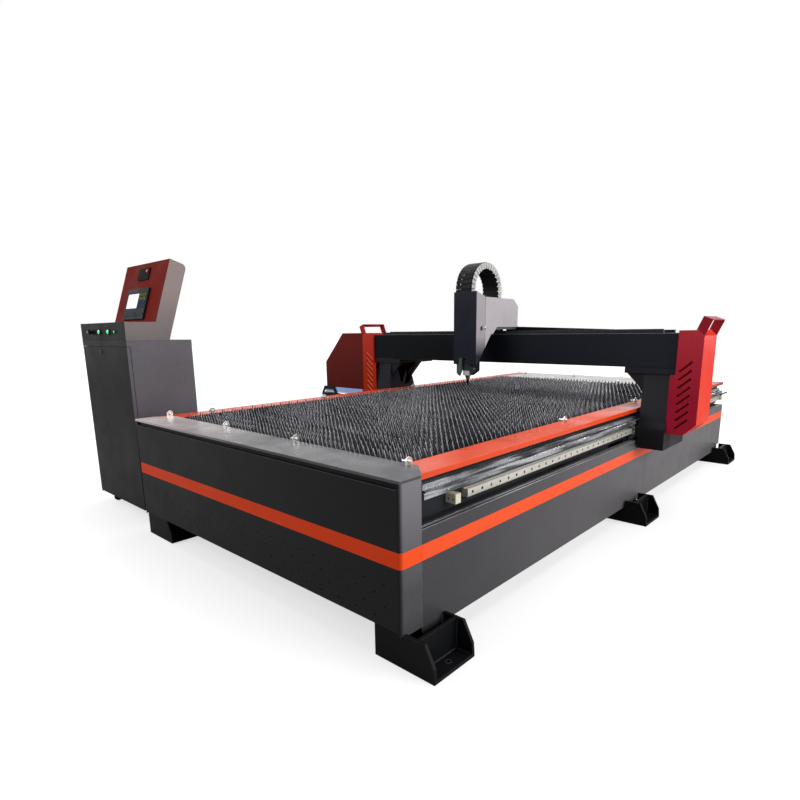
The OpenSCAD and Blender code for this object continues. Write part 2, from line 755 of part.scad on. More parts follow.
lock_x = (con_x0 + con_x1) / 2 - 45;
lock_z = door_top - 28;
module door_lock() color("#c4c7c9") {
    cam_y = front_wall_y + con_t + 0.6;
    translate([lock_x, cam_y + 1, lock_z]) rotate([90, 0, 0]) cylinder(h = cam_y + 1 - con_y0, r = 8);
    translate([lock_x, con_y0 - seat, lock_z]) rotate([90, 0, 0]) cylinder(h = 3, r = 12);
    translate([lock_x, con_y0, lock_z]) rotate([90, 0, 0]) cylinder(h = 2, r = 7);
    span([lock_x - 6, cam_y, lock_z - 6], [lock_x + 34, cam_y + 3, lock_z + 6]);
}

module drive_units() color("#b5b8bb") {
    y1 = con_y1 - con_t - 10;
    span([con_x0 + 25, y1 - 3, con_z + 60], [con_x1 - 25, y1, door_top - 60]);
    for (x = [con_x0 + 60, con_x1 - 100], z = [con_z + 70, door_top - 90])
        span([x, y1 + seat, z], [x + 40, con_y1 - con_t - seat, z + 20]);
    for (i = [0:3])
        span([con_x0 + 50 + i * 130, y1 - 118, 600], [con_x0 + 140 + i * 130, y1 - 3 - seat, 780]);
    span([con_x0 + 60, y1 - 60, 420], [con_x0 + 260, y1 - 3 - seat, 540]);
    for (i = [0:2])
        span([con_x0 + 330 + i * 60, y1 - 80, 430], [con_x0 + 380 + i * 60, y1 - 3 - seat, 510]);
    span([con_x0 + 60, y1 - 40, 260], [con_x1 - 60, y1 - 3 - seat, 310]);
}

module caster_fork(x, y) color("#a9acb0") {
    leg = 2.5;
    wide = 30;
    crown = 2 * caster_r + 2;
    translate([x, y, 0]) {
        translate([0, 0, crown + 1]) cylinder(h = con_z - 4 - seat - crown - 1, r = 20);
        span([-wide / 2, -16, crown], [wide / 2, 20, crown + 3]);
        for (side = [-wide / 2, wide / 2 - leg])
            along_x(side, side + leg)
                polygon([[-16, crown + 1], [caster_trail - 7, caster_r - 7], [caster_trail + 7, caster_r - 7],
                         [caster_trail + 9, caster_r], [20, crown + 1]]);
        translate([-wide / 2 - 3, caster_trail, caster_r]) rotate([0, 90, 0]) cylinder(h = wide + 6, r = 4);
    }
}

module caster_wheel(x, y) color("#161718") {
    wide = 22;
    translate([x - wide / 2, y + caster_trail, caster_r]) rotate([0, 90, 0])
        rotate_extrude() polygon([[4.05, 0], [caster_r - 10, 0], [caster_r - 8, 3], [caster_r - 3, 3],
                                  [caster_r, 6], [caster_r, wide - 6], [caster_r - 3, wide - 3],
                                  [caster_r - 8, wide - 3], [caster_r - 10, wide], [4.05, wide]]);
}

module caster_fork_1() caster_fork(caster_x[0], caster_y[0]);
module caster_fork_2() caster_fork(caster_x[1], caster_y[0]);
module caster_fork_3() caster_fork(caster_x[0], caster_y[1]);
module caster_fork_4() caster_fork(caster_x[1], caster_y[1]);
module caster_wheel_1() caster_wheel(caster_x[0], caster_y[0]);
module caster_wheel_2() caster_wheel(caster_x[1], caster_y[0]);
module caster_wheel_3() caster_wheel(caster_x[0], caster_y[1]);
module caster_wheel_4() caster_wheel(caster_x[1], caster_y[1]);

// ---------------------------------------------------------------- gantry

module gantry_beam() color("#1c1f23") {
    difference() {
        span([-cross_end, cross_y, cross_z], [cross_end, cross_y + cross_d, cross_top]);
        span([-cross_end + 10, cross_y + 6, cross_z + 6],
             [cross_end - 10, cross_y + cross_d - 6, cross_top - 6]);
    }
}

// side outline of a leg: upright front that leans back, waisted rear that flares to the flange
function leg_side() = [[0, leg_z], [leg_l, leg_z], [leg_l - 30, leg_z + 209],
    [leg_l - 63, leg_z + 299], [flange_l + 28, flange_z - seat], [43, flange_z - seat],
    [8, leg_z + 150], [0, leg_z + 112]];

// ribs between these pockets slant back and forward below the flange
module leg_pockets() {
    top = flange_z - 26;
    foot = leg_z + 225;
    polygon([[62, top], [92, top], [64, foot + 40]]);
    polygon([[112, top], [226, top], [160, foot]]);
    polygon([[250, top], [350, top], [leg_l - 66, leg_z + 325], [leg_l - 90, foot + 20], [186, foot]]);
}

module gantry_legs() color("#222428") both_sides() {
    wall = 38;
    difference() {
        union() {
            along_x(leg_in, leg_out) polygon(leg_side());
            span([leg_in - 105, 30, flange_z], [cross_end, 30 + flange_l, cross_z - seat]);
            for (y = [46, 226])
                along_y(y, y + 14)
                    polygon([[leg_in - 99, flange_z + 1], [leg_in + 1, flange_z + 1],
                             [leg_in + 1, flange_z - 95], [leg_in - 4, flange_z - 93]]);
            span([leg_in - 15, 0, rail_z - block_w / 2], [leg_in + 1, leg_l - 6, rail_z + block_w / 2]);
        }
        along_x(leg_in - 1, leg_out - wall) leg_pockets();
        translate([leg_in - 1, pinion_cy, pinion_cz])
            rotate([0, 90, 0]) cylinder(h = leg_w + 2, r = shaft_r + 6);
    }
}

// half-width outline of a drive cover, counter-clockwise
cover_outline = [[leg_out + seat, cover_z], [cover_out - foot_chamfer, cover_z],
    [cover_out, cover_z + foot_chamfer], [cover_out, cover_top - top_bevel],
    [cover_out - top_bevel, cover_top], [cross_end + seat, cover_top],
    [cross_end + seat, cross_z - flange_t - 2], [leg_out + seat, cross_z - flange_t - 2]];
louvre_l = 84;
louvre_tilt = 29;
louvre_x = (leg_out + cover_out) / 2 - 2;
louvre_n = 8;

module louvre_hood() {
    rise = 11;
    out = 6;
    rotate([0, -louvre_tilt, 0]) translate([-louvre_l / 2, 0, 0])
        along_x(0, louvre_l) polygon([[0.5, rise], [0.5, rise - 2], [-out, 0], [-out, 1.6], [0, rise]]);
}

module drive_covers() color("#b3202f") both_sides() {
    inner = inset(cover_outline, cover_t);
    shift = [-cover_t - 1, 0];
    difference() {
        along_y(cover_y, cover_y + cover_d) polygon(cover_outline);
        along_y(cover_y + cover_t, cover_y + cover_d - cover_t)
            polygon([inner[0] + shift, inner[1], inner[2], inner[3], inner[4], inner[5],
                     inner[6], inner[7] + shift]);
        for (i = [0:louvre_n - 1])
            translate([louvre_x, cover_y - 1, cover_z + 60 + i * louvre_pitch])
                rotate([0, -louvre_tilt, 0]) translate([-louvre_l / 2, 0, -4])
                    cube([louvre_l, cover_t + 2, 9]);
    }
    for (i = [0:louvre_n - 1])
        translate([louvre_x, cover_y, cover_z + 60 + i * louvre_pitch]) louvre_hood();
}

// lifting handle over the full depth of the cover: a bent strip whose feet sit on the bevel
handle_w = 48;
handle_h = 86;
handle_lean = 22;
module cover_handle(side, clip) {
    strip = 4;
    mirror([side < 0 ? 1 : 0, 0, 0]) translate([cover_out, cover_y, cover_top - top_bevel]) intersection() {
        rotate([0, handle_lean, 0]) translate([-handle_w, 0, -20]) difference() {
            cube([handle_w, cover_d, handle_h + 20]);
            translate([-1, strip, -1]) cube([handle_w + 2, cover_d - 2 * strip, handle_h + 21 - strip]);
        }
        along_y(-1, cover_d + 1) polygon(concat([[-100, top_bevel + handle_gap],
            [-top_bevel, top_bevel + handle_gap]], clip, [[200, 200], [-100, 200]]));
    }
}

// the left one also stays above the cable box beside the cover
handle_gap = 1.5 * seat;
module cover_handles() color("#a01c2a") {
    cover_handle(1, [[0, handle_gap], [60, handle_gap - 60], [200, 0]]);
    cover_handle(-1, [[-seat, handle_gap + seat], [-seat, top_bevel + handle_gap],
                      [200, top_bevel + handle_gap]]);
}

module cable_box() color("#5e1b19") {
    cut_w = 228;
    cut_h = 238;
    out = [[-box_out, box_z], [-cover_out - seat, box_z], [-cover_out - seat, cover_top],
           [-box_out + cut_w, cover_top], [-box_out, cover_top - cut_h]];
    difference() {
        along_y(cover_y, cover_y + cover_d) polygon(out);
        along_y(cover_y + cover_t, cover_y + cover_d - cover_t) polygon(inset(out, cover_t));
    }
}

module lead_bracket() {
    x0 = -box_out + 100;
    x1 = -cover_out - 8;
    z1 = box_z - seat;
    color("#8fb4e6") difference() {
        span([x0, cover_y - 6, z1 - channel_h], [x1, cover_y + cover_d, z1]);
        span([x0 - 1, cover_y - 4, z1 - channel_h + 2], [x1 + 1, cover_y + cover_d - 2, z1 - 2]);
    }
    // hoop that guides the torch lead, and the arm that holds the chain's moving end
    color("#101114") {
        along_y(cover_y - 10, cover_y + 30) difference() {
            polygon([[x0 - 70, z1 - 62], [x0 + 14, z1 - 62], [x0 - 4, z1 + 0], [x0 - 52, z1 + 0]]);
            polygon([[x0 - 54, z1 - 50], [x0 - 2, z1 - 50], [x0 - 14, z1 - 10], [x0 - 42, z1 - 10]]);
        }
        span([x0 - 150, cover_y - 10, z1 - 74], [x0 + 14, cover_y + 60, z1 - 62 - seat]);
        span([y_tray_x - y_link_w - 8, 100, y_run_z + 2 * y_bend_r + y_link_h / 2 + seat],
             [y_tray_x - 8, 160, z1 - channel_h - seat]);
    }
}

module y_blocks() color("#a7aaae") both_sides() for (y = block_y) difference() {
    span([beam_out + 4, y, rail_z - block_w / 2 + 1],
         [leg_in - 15 - seat, y + block_l, rail_z + block_w / 2 - 1]);
    span([beam_out + 3, y - 1, rail_z - rail_w / 2 - 0.5],
         [beam_out + rail_h + 0.5, y + block_l + 1, rail_z + rail_w / 2 + 0.5]);
}

drive_s = 80;
module y_drives() color("#222326") both_sides() {
    x0 = leg_out + seat;
    gear_z0 = pinion_cz - drive_s / 2;
    span([x0, pinion_cy - drive_s / 2, gear_z0], [x0 + 84, pinion_cy + drive_s / 2, gear_z0 + drive_s]);
    translate([0, 0, seat]) {
        span([x0 + 2, pinion_cy - drive_s / 2, gear_z0 + drive_s],
             [x0 + 82, pinion_cy + drive_s / 2, gear_z0 + drive_s + 10]);
        span([x0 + 4, pinion_cy - drive_s / 2 + 2, gear_z0 + drive_s + 10 + seat],
             [x0 + 80, pinion_cy + drive_s / 2 - 2, gear_z0 + drive_s + 150]);
    }
}

module side_pinion(side) {
    mirror([side < 0 ? 1 : 0, 0, 0]) {
        translate([rack_in, pinion_cy, pinion_cz]) rotate([90, 0, 90]) linear_extrude(rack_w)
            polygon(gear_outline(rack_m, pinion_z, -90));
        translate([rack_out, pinion_cy, pinion_cz]) rotate([0, 90, 0])
            cylinder(h = leg_out - rack_out - seat, r = shaft_r);
    }
}

module pinion_left() color("#c0c2c4") side_pinion(-1);
module pinion_right() color("#c0c2c4") side_pinion(1);

module beam_rails() color("#c3c5c8") for (y = x_rail_y) difference() {
    span([-x_rail_end, y - x_rail_w / 2, cross_top + seat],
         [x_rail_end, y + x_rail_w / 2, cross_top + x_rail_h]);
    for (x = [-x_rail_end + 30 : rail_screw : x_rail_end - 20])
        translate([x, y, cross_top + x_rail_h - 6]) cylinder(h = 8, r = 4.5);
}

module beam_rack() color("#a9a7a0")
    translate([0, x_rack_line, cross_top + seat]) linear_extrude(x_rack_h)
        polygon(rack_outline(x_rack_m, -x_rail_end + 20, x_rail_end - 20, head_x, x_rack_d));

module x_chain_tray() color("#3c3e42") {
    x0 = 60;
    x1 = cross_end + 24;
    y0 = head_rear + seat;
    y1 = x_tray_y + x_link_w + 6;
    span([x0, x_tray_y - 6, x_tray_z], [x1, y1, x_tray_z + 2]);
    span([x0, y0, x_tray_z], [x1, x_tray_y - 4, x_tray_z + 36]);
    span([x0, y1 - 2, x_tray_z], [x1, y1, x_tray_z + 36]);
    span([x0 + 40, x_tray_y, x_tray_z + 2 + seat],
         [x_bend_x - chain_gap, x_tray_y + x_link_w, x_tray_z + 2 + x_link_h]);
}

// outline of a chain's bend and upper run; the bend opens away from the moving end
module chain_hook(run_l, r, h, rise) {
    difference() {
        union() {
            circle(r = r + h / 2);
            polygon([[0, r - h / 2], [0, r + h / 2], [-run_l, r + h / 2 + rise], [-run_l, r - h / 2 + rise]]);
        }
        circle(r = r - h / 2);
        translate([-run_l - r - h, -r - h]) square([run_l + r + h, 2 * r + h / 2]);
    }
}

module x_chain() color("#141517")
    translate([x_bend_x, 0, x_run_z + x_bend_r]) along_y(x_tray_y, x_tray_y + x_link_w)
        chain_hook(x_bend_x - head_x - 20, x_bend_r, x_link_h, x_rise);

module y_chain() color("#141517")
    translate([0, y_bend_y, y_run_z + y_bend_r])
        along_x(y_tray_x - y_link_w - 8, y_tray_x - 8)
            chain_hook(y_bend_y - 110, y_bend_r, y_link_h, 0);

// ---------------------------------------------------------------- carriage and head

module carriage_plate() color("#4a4c50") {
    x0 = head_x0 + 8;
    x1 = head_x1 - 8;
    difference() {
        union() {
            span([x0, seam_y + mast_t, plate_z], [x1, head_rear - 6, plate_z + carriage_t]);
            span([x0, seam_y + seat, plate_z - 95], [x1, seam_y + mast_t, head_top - 12]);
            for (x = [x0, x1 - 10])
                along_x(x, x + 10)
                    polygon([[seam_y + mast_t - 1, plate_z + 1], [seam_y + mast_t + 110, plate_z + 1],
                             [seam_y + mast_t - 1, head_top - 40]]);
        }
        translate([head_x, x_pinion_y, plate_z - 1]) cylinder(h = carriage_t + 2, r = 15);
    }
}

// side outline of the head behind the seam, and of the nose in front of it
nose_slope = [[nose_y + 12, nose_z - 4], [-55, cross_top + 1]];
function slope_at(y) = nose_slope[0].y
    + (y - nose_slope[0].x) * (nose_slope[1].y - nose_slope[0].y) / (nose_slope[1].x - nose_slope[0].x);

module head_frame() color("#b4afb1") {
    low = plate_z + carriage_t + seat;
    outline = [[seam_y + seat, slope_at(seam_y)], [-55, cross_top + 1], [-34, cross_top + 1], [12, low],
               [head_rear, low], [head_rear, head_top - 51], [head_rear - 57, head_top - 5],
               [seam_y + seat, head_top]];
    difference() {
        along_x(head_x0, head_x1) polygon(outline);
        along_x(head_x0 + head_t, head_x1 - head_t)
            polygon([[seam_y - 1, slope_at(seam_y) - 20], [-30, cross_top - 60],
                     [head_rear - head_t, cross_top - 60], [head_rear - head_t, head_top - 52],
                     [head_rear - 58, head_top - 7.5], [seam_y - 1, head_top - head_t]]);
    }
    // feet folded inwards, which stand on the carriage plate
    for (x = [head_x0, head_x1 - 20]) span([x, 30, low], [x + 20, head_rear - 1, low + head_t]);
    // arm for the moving end of the cable chain
    arm_z = x_run_z + 2 * x_bend_r + x_link_h / 2 + x_rise + seat;
    span([head_x - 30, head_rear + seat, arm_z], [head_x + 50, x_tray_y + x_link_w, arm_z + 5]);
}

module head_cover() color("#2d2e38") {
    outline = [[nose_y, nose_z - 4], [nose_slope[0].x, nose_slope[0].y], [seam_y, slope_at(seam_y)],
               [seam_y, head_top], [nose_y, nose_top]];
    difference() {
        along_x(head_x0, head_x1) polygon(outline);
        along_x(head_x0 + head_t, head_x1 - head_t)
            polygon([[nose_y + head_t, nose_z - 10], [seam_y + 1, nose_z - 10],
                     [seam_y + 1, head_top - head_t], [nose_y + head_t, nose_top - head_t - 0.8]]);
        span([head_x0 + 38, nose_y - 1, nose_z - 10], [head_x0 + 96, nose_y + head_t + 1, nose_z + 38]);
    }
    // knurled screw that holds the cover at its right side
    translate([head_x1 + seat, nose_y + 55, cross_top + 40]) rotate([0, 90, 0]) cylinder(h = 13, r = 8);
}

module carriage_guides() color("#9fa2a6") {
    for (y = x_rail_y, x = [head_x0 + 12, head_x1 - 62]) difference() {
        span([x, y - 21, cross_top + 4], [x + 50, y + 21, plate_z - seat]);
        span([x - 1, y - x_rail_w / 2 - 0.5, cross_top + 3],
             [x + 51, y + x_rail_w / 2 + 0.5, cross_top + x_rail_h + 0.5]);
    }
    span([head_x - 34, seam_y - 10, plate_z - 90], [head_x - 19, seam_y, head_top - 20]);
}

module head_motors() color("#1f2022") {
    // carriage motor on the plate
    span([head_x - 43, x_pinion_y - 43, plate_z + carriage_t + seat],
         [head_x + 43, x_pinion_y + 43, plate_z + carriage_t + 110]);
    // lift motor at the top of the mast
    span([head_x + 20, seam_y - 58, head_top - 72], [head_x + 74, seam_y - seat, head_top - 18]);
}

module x_pinion() color("#c0c2c4") {
    translate([head_x, x_pinion_y, cross_top + 3]) linear_extrude(20)
        polygon(gear_outline(x_rack_m, x_pinion_z, -90));
    translate([head_x, x_pinion_y, cross_top + 22])
        cylinder(h = plate_z + carriage_t - cross_top - 22, r = 7);
}

screw_x = head_x + 47;
screw_y = seam_y - 31;
module z_screw() color("#c8cacc")
    translate([screw_x, screw_y, plate_z - 88]) cylinder(h = head_top - 72 - seat - plate_z + 88, r = 6);

// looped chain: side plates overlap along the arch, so every other link is a little wider
module arch_chain() color("#1a1b1d") {
    cy = nose_y + 5 + arch_r;
    cz = head_top + 216 - arch_r;
    rm = arch_r - arch_t;
    links = 17;
    x0 = head_x - arch_w / 2 - 17;
    x1 = x0 + arch_w;
    foot = [nose_y + 7, cy + rm + 2];
    leg = arch_t - 4;
    slope = (nose_top - head_top) / nose_d;
    along_x(x0 + 2, x1 - 2) intersection() {
        difference() {
            translate([cy, cz]) circle(r = arch_r - 2);
            translate([cy, cz]) circle(r = rm + 2);
        }
        translate([cy - 200, cz]) square([400, 200]);
    }
    for (i = [0:2:links - 1])
        translate([0, cy, cz]) rotate([(i + 0.08) * 180 / links, 0, 0])
            along_x(x0, x1) polygon(concat(arc([0, 0], arch_r, 0, 0.84 * 180 / links, 2),
                                          arc([0, 0], rm, 0.84 * 180 / links, 0, 2)));
    along_x(x0 + 2, x1 - 2)
        polygon([[foot[0], nose_top - 7 * slope + seat], [foot[0] + leg, nose_top - (7 + leg) * slope + seat],
                 [foot[0] + leg, cz], [foot[0], cz]]);
    span([x0 + 2, foot[1], head_top + seat], [x1 - 2, foot[1] + leg, cz]);
}

module lift_plate() color("#6d7072") {
    difference() {
        union() {
            span([head_x - 48, lift_y - 8, tip_z + 98], [head_x + 26, lift_y, plate_z + 40]);
            span([head_x - 44, lift_y, plate_z - 60], [head_x - 9, lift_y + 21, plate_z + 20]);
            span([head_x + 26, screw_y - 14, plate_z - 30], [head_x + 65, screw_y + 14, plate_z]);
            span([head_x + 20, lift_y - 8, plate_z - 30], [head_x + 40, lift_y, plate_z]);
        }
        span([head_x - 34.4, lift_y + 11.5, plate_z - 70], [head_x - 18.6, lift_y + 30, plate_z + 40]);
        translate([screw_x, screw_y, plate_z - 40]) cylinder(h = 50, r = 6.05);
    }
}

// split clamp around the torch's body, cut away in front of the collar, and its bracket
module torch_holder() {
    z0 = tip_z + 65;
    collar_top = tip_z + 95.5;
    color("#17181b") difference() {
        along_y(torch_y - 22, lift_y - 8 - seat)
            polygon([[torch_x - 34, z0], [torch_x + 34, z0], [torch_x + 78, z0 + 30],
                     [torch_x + 78, z0 + 104], [torch_x - 34, z0 + 104]]);
        translate([torch_x, torch_y, z0 - 1]) cylinder(h = 110, r = 17.2);
        translate([torch_x, torch_y, z0 - 1]) cylinder(h = collar_top - z0 + 1, r = 30.6);
        span([torch_x - 35, torch_y - 23, z0 - 1], [torch_x + 40, torch_y - 6, collar_top]);
    }
    color("#5c6a68") along_y(nose_y + 4, torch_y - 22 - seat)
        polygon([[torch_x - 60, z0 + 116], [torch_x - 60, z0 + 12], [torch_x - 40, z0 - 4],
                 [torch_x - 24, z0 + 34], [torch_x - 16, z0 + 116]]);
}

module torch() color("#c9c2b8") translate([torch_x, torch_y, tip_z]) rotate_extrude()
    polygon([[0, 0], [3, 0], [6, 10], [8, 34], [11, 38], [18, 62], [30, 66], [30, 70], [30, 92],
             [27, 94.5], [17, 94.5], [17, 300], [12, 306], [12, 390], [0, 390]]);

// ---------------------------------------------------------------- nodes

table_frame();
feet();
end_cap();
rear_panel();
side_panels();
top_plates();
ledges();
sheet_stops();
slats();
slat_holders();
slag_sheets();
y_rails();
y_racks();
end_stops();
y_chain_tray();
console_cabinet();
console_head();
controller();
display_window();
switch_collars();
console_door();
door_lock();
key_switch();
start_button();
stop_button();
drive_units();
caster_fork_1();
caster_fork_2();
caster_fork_3();
caster_fork_4();
caster_wheel_1();
caster_wheel_2();
caster_wheel_3();
caster_wheel_4();
gantry_beam();
gantry_legs();
drive_covers();
cover_handles();
cable_box();
lead_bracket();
y_blocks();
y_drives();
pinion_left();
pinion_right();
beam_rails();
beam_rack();
x_chain_tray();
x_chain();
y_chain();
carriage_plate();
head_frame();
head_cover();
carriage_guides();
head_motors();
x_pinion();
z_screw();
arch_chain();
lift_plate();
torch_holder();
torch();
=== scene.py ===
import json
import math
import random

import bmesh
import bpy
from mathutils import Matrix, Vector

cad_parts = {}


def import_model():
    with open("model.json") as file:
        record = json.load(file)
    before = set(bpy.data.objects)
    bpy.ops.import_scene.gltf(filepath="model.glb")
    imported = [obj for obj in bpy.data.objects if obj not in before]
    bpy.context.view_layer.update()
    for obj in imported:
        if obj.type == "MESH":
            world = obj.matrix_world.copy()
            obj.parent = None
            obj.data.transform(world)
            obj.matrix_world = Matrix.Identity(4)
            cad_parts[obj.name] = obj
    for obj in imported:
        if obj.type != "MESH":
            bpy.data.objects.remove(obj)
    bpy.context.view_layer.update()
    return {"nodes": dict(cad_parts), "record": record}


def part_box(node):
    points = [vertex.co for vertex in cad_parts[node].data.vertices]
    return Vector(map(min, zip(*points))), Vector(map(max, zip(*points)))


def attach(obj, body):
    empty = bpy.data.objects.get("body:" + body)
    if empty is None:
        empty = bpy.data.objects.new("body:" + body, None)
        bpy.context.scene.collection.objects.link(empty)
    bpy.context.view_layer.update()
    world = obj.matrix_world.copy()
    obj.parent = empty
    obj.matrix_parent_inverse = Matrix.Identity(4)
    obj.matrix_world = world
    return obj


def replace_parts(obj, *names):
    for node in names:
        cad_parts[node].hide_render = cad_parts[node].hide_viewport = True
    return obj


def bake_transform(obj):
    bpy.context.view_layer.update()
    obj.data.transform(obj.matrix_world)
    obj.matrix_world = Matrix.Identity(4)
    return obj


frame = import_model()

NODES = frame["nodes"]
BODY_OF = {node: body for body, nodes in frame["record"]["behaviour"]["bodies"].items()
           for node in nodes}
SLOT_OF = {row["node"]: row["material_slot"] for row in frame["record"]["subparts"]}
MM = 0.001
X, Y, Z = Vector((1, 0, 0)), Vector((0, 1, 0)), Vector((0, 0, 1))
SIDES = (-1, 1)


# ---------------------------- materials

def linear(hex_code):
    """A colour written as on screen, turned into the renderer's linear values."""
    values = [int(hex_code[i:i + 2], 16) / 255 for i in (1, 3, 5)]
    return [v / 12.92 if v <= 0.04045 else ((v + 0.055) / 1.055) ** 2.4 for v in values] + [1.0]


def wire(node, inputs):
    """Links each input of a node to another node's socket, or sets it to a constant."""
    for key, value in inputs.items():
        if isinstance(value, bpy.types.NodeSocket):
            node.id_data.links.new(value, node.inputs[key])
        else:
            node.inputs[key].default_value = value
    return node


def new_node(tree, kind, inputs=None, **settings):
    """A new shader node with its settings and inputs."""
    node = tree.nodes.new("ShaderNode" + kind)
    for key, value in settings.items():
        setattr(node, key, value)
    return wire(node, inputs or {})


class Finish:
    """A procedural material: varied base colour, smudged roughness, fine grain, and edges in a
    second tone: painted highlights on most finishes, worn paint on some.
    """

    def __init__(self, name, colour, rough, bump, metal=0.0, coat=0.0, gloss=0.22, vary=0.12,
                 smudge=0.10, grain=700.0, edge=None, edge_size=0.0015, stretch=(1, 1, 1),
                 wear_and_highlight=0.5):
        self.mat = bpy.data.materials.new(name)
        self.mat.use_nodes = True
        self.bsdf = self.mat.node_tree.nodes["Principled BSDF"]
        wire(self.bsdf, {"Metallic": metal, "Specular IOR Level": gloss, "Coat Weight": coat,
                         "Coat Roughness": 0.12})
        self.place = self.add("TexCoord").outputs["Object"]
        self.normal = None
        self.colour = self.variation(linear(colour), vary)
        if edge:
            self.worn_and_lit_edges(linear(edge), edge_size, wear_and_highlight)
        self.roughness(rough, smudge)
        self.relief(grain, bump, stretch)
        wire(self.bsdf, {"Base Color": self.colour})
        self.mat.diffuse_color = linear(colour)

    def add(self, kind, inputs=None, **settings):
        return new_node(self.mat.node_tree, kind, inputs, **settings)

    def noise(self, scale, detail, stretch=(1, 1, 1)):
        spot = self.add("Mapping", {"Vector": self.place, "Scale": stretch}).outputs["Vector"]
        return self.add("TexNoise", {"Vector": spot, "Scale": scale,
                                     "Detail": detail}).outputs["Fac"]

    def spread(self, value, low, high, out_low=0.0, out_high=1.0):
        """A value from low to high, mapped to out_low to out_high and held there at both ends."""
        return self.add("MapRange", {"Value": value, "From Min": low, "From Max": high,
                                     "To Min": out_low, "To Max": out_high}).outputs["Result"]

    def mix(self, factor, a, b):
        return self.add("Mix", {0: factor, 6: a, 7: b}, data_type="RGBA").outputs[2]

    def product(self, a, b):
        return self.add("Math", {0: a, 1: b}, operation="MULTIPLY").outputs[0]

    def dot(self, a, b):
        return self.add("VectorMath", {0: a, 1: b}, operation="DOT_PRODUCT").outputs["Value"]

    def variation(self, colour, amount):
        tint = self.spread(self.noise(2.3, 5.0), 0.3, 0.7, 1 - amount, 1 + amount)
        speck = self.spread(self.noise(60.0, 2.0), 0.3, 0.7, 1 - amount / 3, 1 + amount / 3)
        return self.add("VectorMath", {0: colour[:3], "Scale": self.product(tint, speck)},
                        operation="SCALE").outputs[0]

    def worn_and_lit_edges(self, colour, size, wear_and_highlight):
        """Edges, found where the rounded normal leaves the flat one, show brighter in places:
        painted highlights along the edges, worn paint on some finishes.
        """
        self.normal = self.add("Bevel", {"Radius": size}, samples=4).outputs[0]
        flat = self.add("NewGeometry").outputs["Normal"]
        edge = self.spread(self.dot(self.normal, flat), 0.995, 0.85, 0.0, wear_and_highlight)
        broken = self.spread(self.noise(25.0, 4.0), 0.35, 0.6, 0.25, 1.0)
        self.colour = self.mix(self.product(edge, broken), self.colour, colour)

    def roughness(self, rough, smudge):
        low, high = max(0.03, rough - smudge), min(1.0, rough + smudge)
        wire(self.bsdf, {"Roughness": self.spread(self.noise(7.0, 4.0), 0.3, 0.7, low, high)})

    def relief(self, grain, bump, stretch):
        node = self.add("Bump", {"Strength": bump, "Distance": 1 * MM,
                                 "Height": self.noise(grain, 2.0, stretch)})
        if self.normal:
            wire(node, {"Normal": self.normal})
        wire(self.bsdf, {"Normal": node.outputs["Normal"]})

    def along(self, axis, low, high, out_low=0.0, out_high=1.0):
        """A value that goes from out_low to out_high between two places along an axis."""
        split = self.add("SeparateXYZ", {0: self.place})
        return self.spread(split.outputs[axis], low, high, out_low, out_high)

    def looking(self, direction):
        """1 on the faces that look along a direction."""
        normal = self.add("NewGeometry").outputs["Normal"]
        return self.spread(self.dot(normal, direction), 0.3, 0.9)

    def paint(self, share, colour):
        """Lays a second tone over the colour, as far as share goes."""
        self.colour = self.mix(share, self.colour, colour)
        wire(self.bsdf, {"Base Color": self.colour})
        return self

    def stripe(self, colour, low, high, facing=None):
        """A band between two heights, on every face, or only on those that look one way, where it
        is a painted shade of the band.
        """
        soft = 0.4 * MM
        share = self.product(self.along(2, low - soft, low + soft),
                             self.along(2, high - soft, high + soft, 1.0, 0.0))
        if facing:
            share = self.product(share, self.looking(facing))
        return self.paint(share, linear(colour))

    def grade(self, colour, axis, low, high, strength=1.0):
        """A second tone that sets in between two places along an axis: painted light and shade on
        most finishes, two-tone paint on some.
        """
        return self.paint(self.along(axis, low, high, 0.0, strength), linear(colour))

    def facing(self, colour, direction, other=None, axis=2, low=0.0, high=1.0):
        """Painted light and shade: a second tone on the faces that look one way; it can drift to
        another along an axis.
        """
        tone = linear(colour)
        if other:
            tone = self.mix(self.along(axis, low, high), tone, linear(other))
        return self.paint(self.looking(direction), tone)

    def stains_and_reflections(self, colour, amount, scale, low, high, stretch):
        """Streaks and patches of a second tone: stains on some finishes, painted reflections on
        others.
        """
        share = self.spread(self.noise(scale, 6.0, stretch), low, high, 0.0, amount)
        return self.paint(share, linear(colour))

    def glow(self, colour, strength):
        wire(self.bsdf, {"Emission Color": linear(colour), "Emission Strength": strength})
        return self


STRIPE = (0.339, 0.394)     # lower and upper edge of the table's orange stripe
ORANGE = "#ee4f1c"
DARK_GAP = "#26272a"        # steel in the shade between the beam's or the ledges' sheets


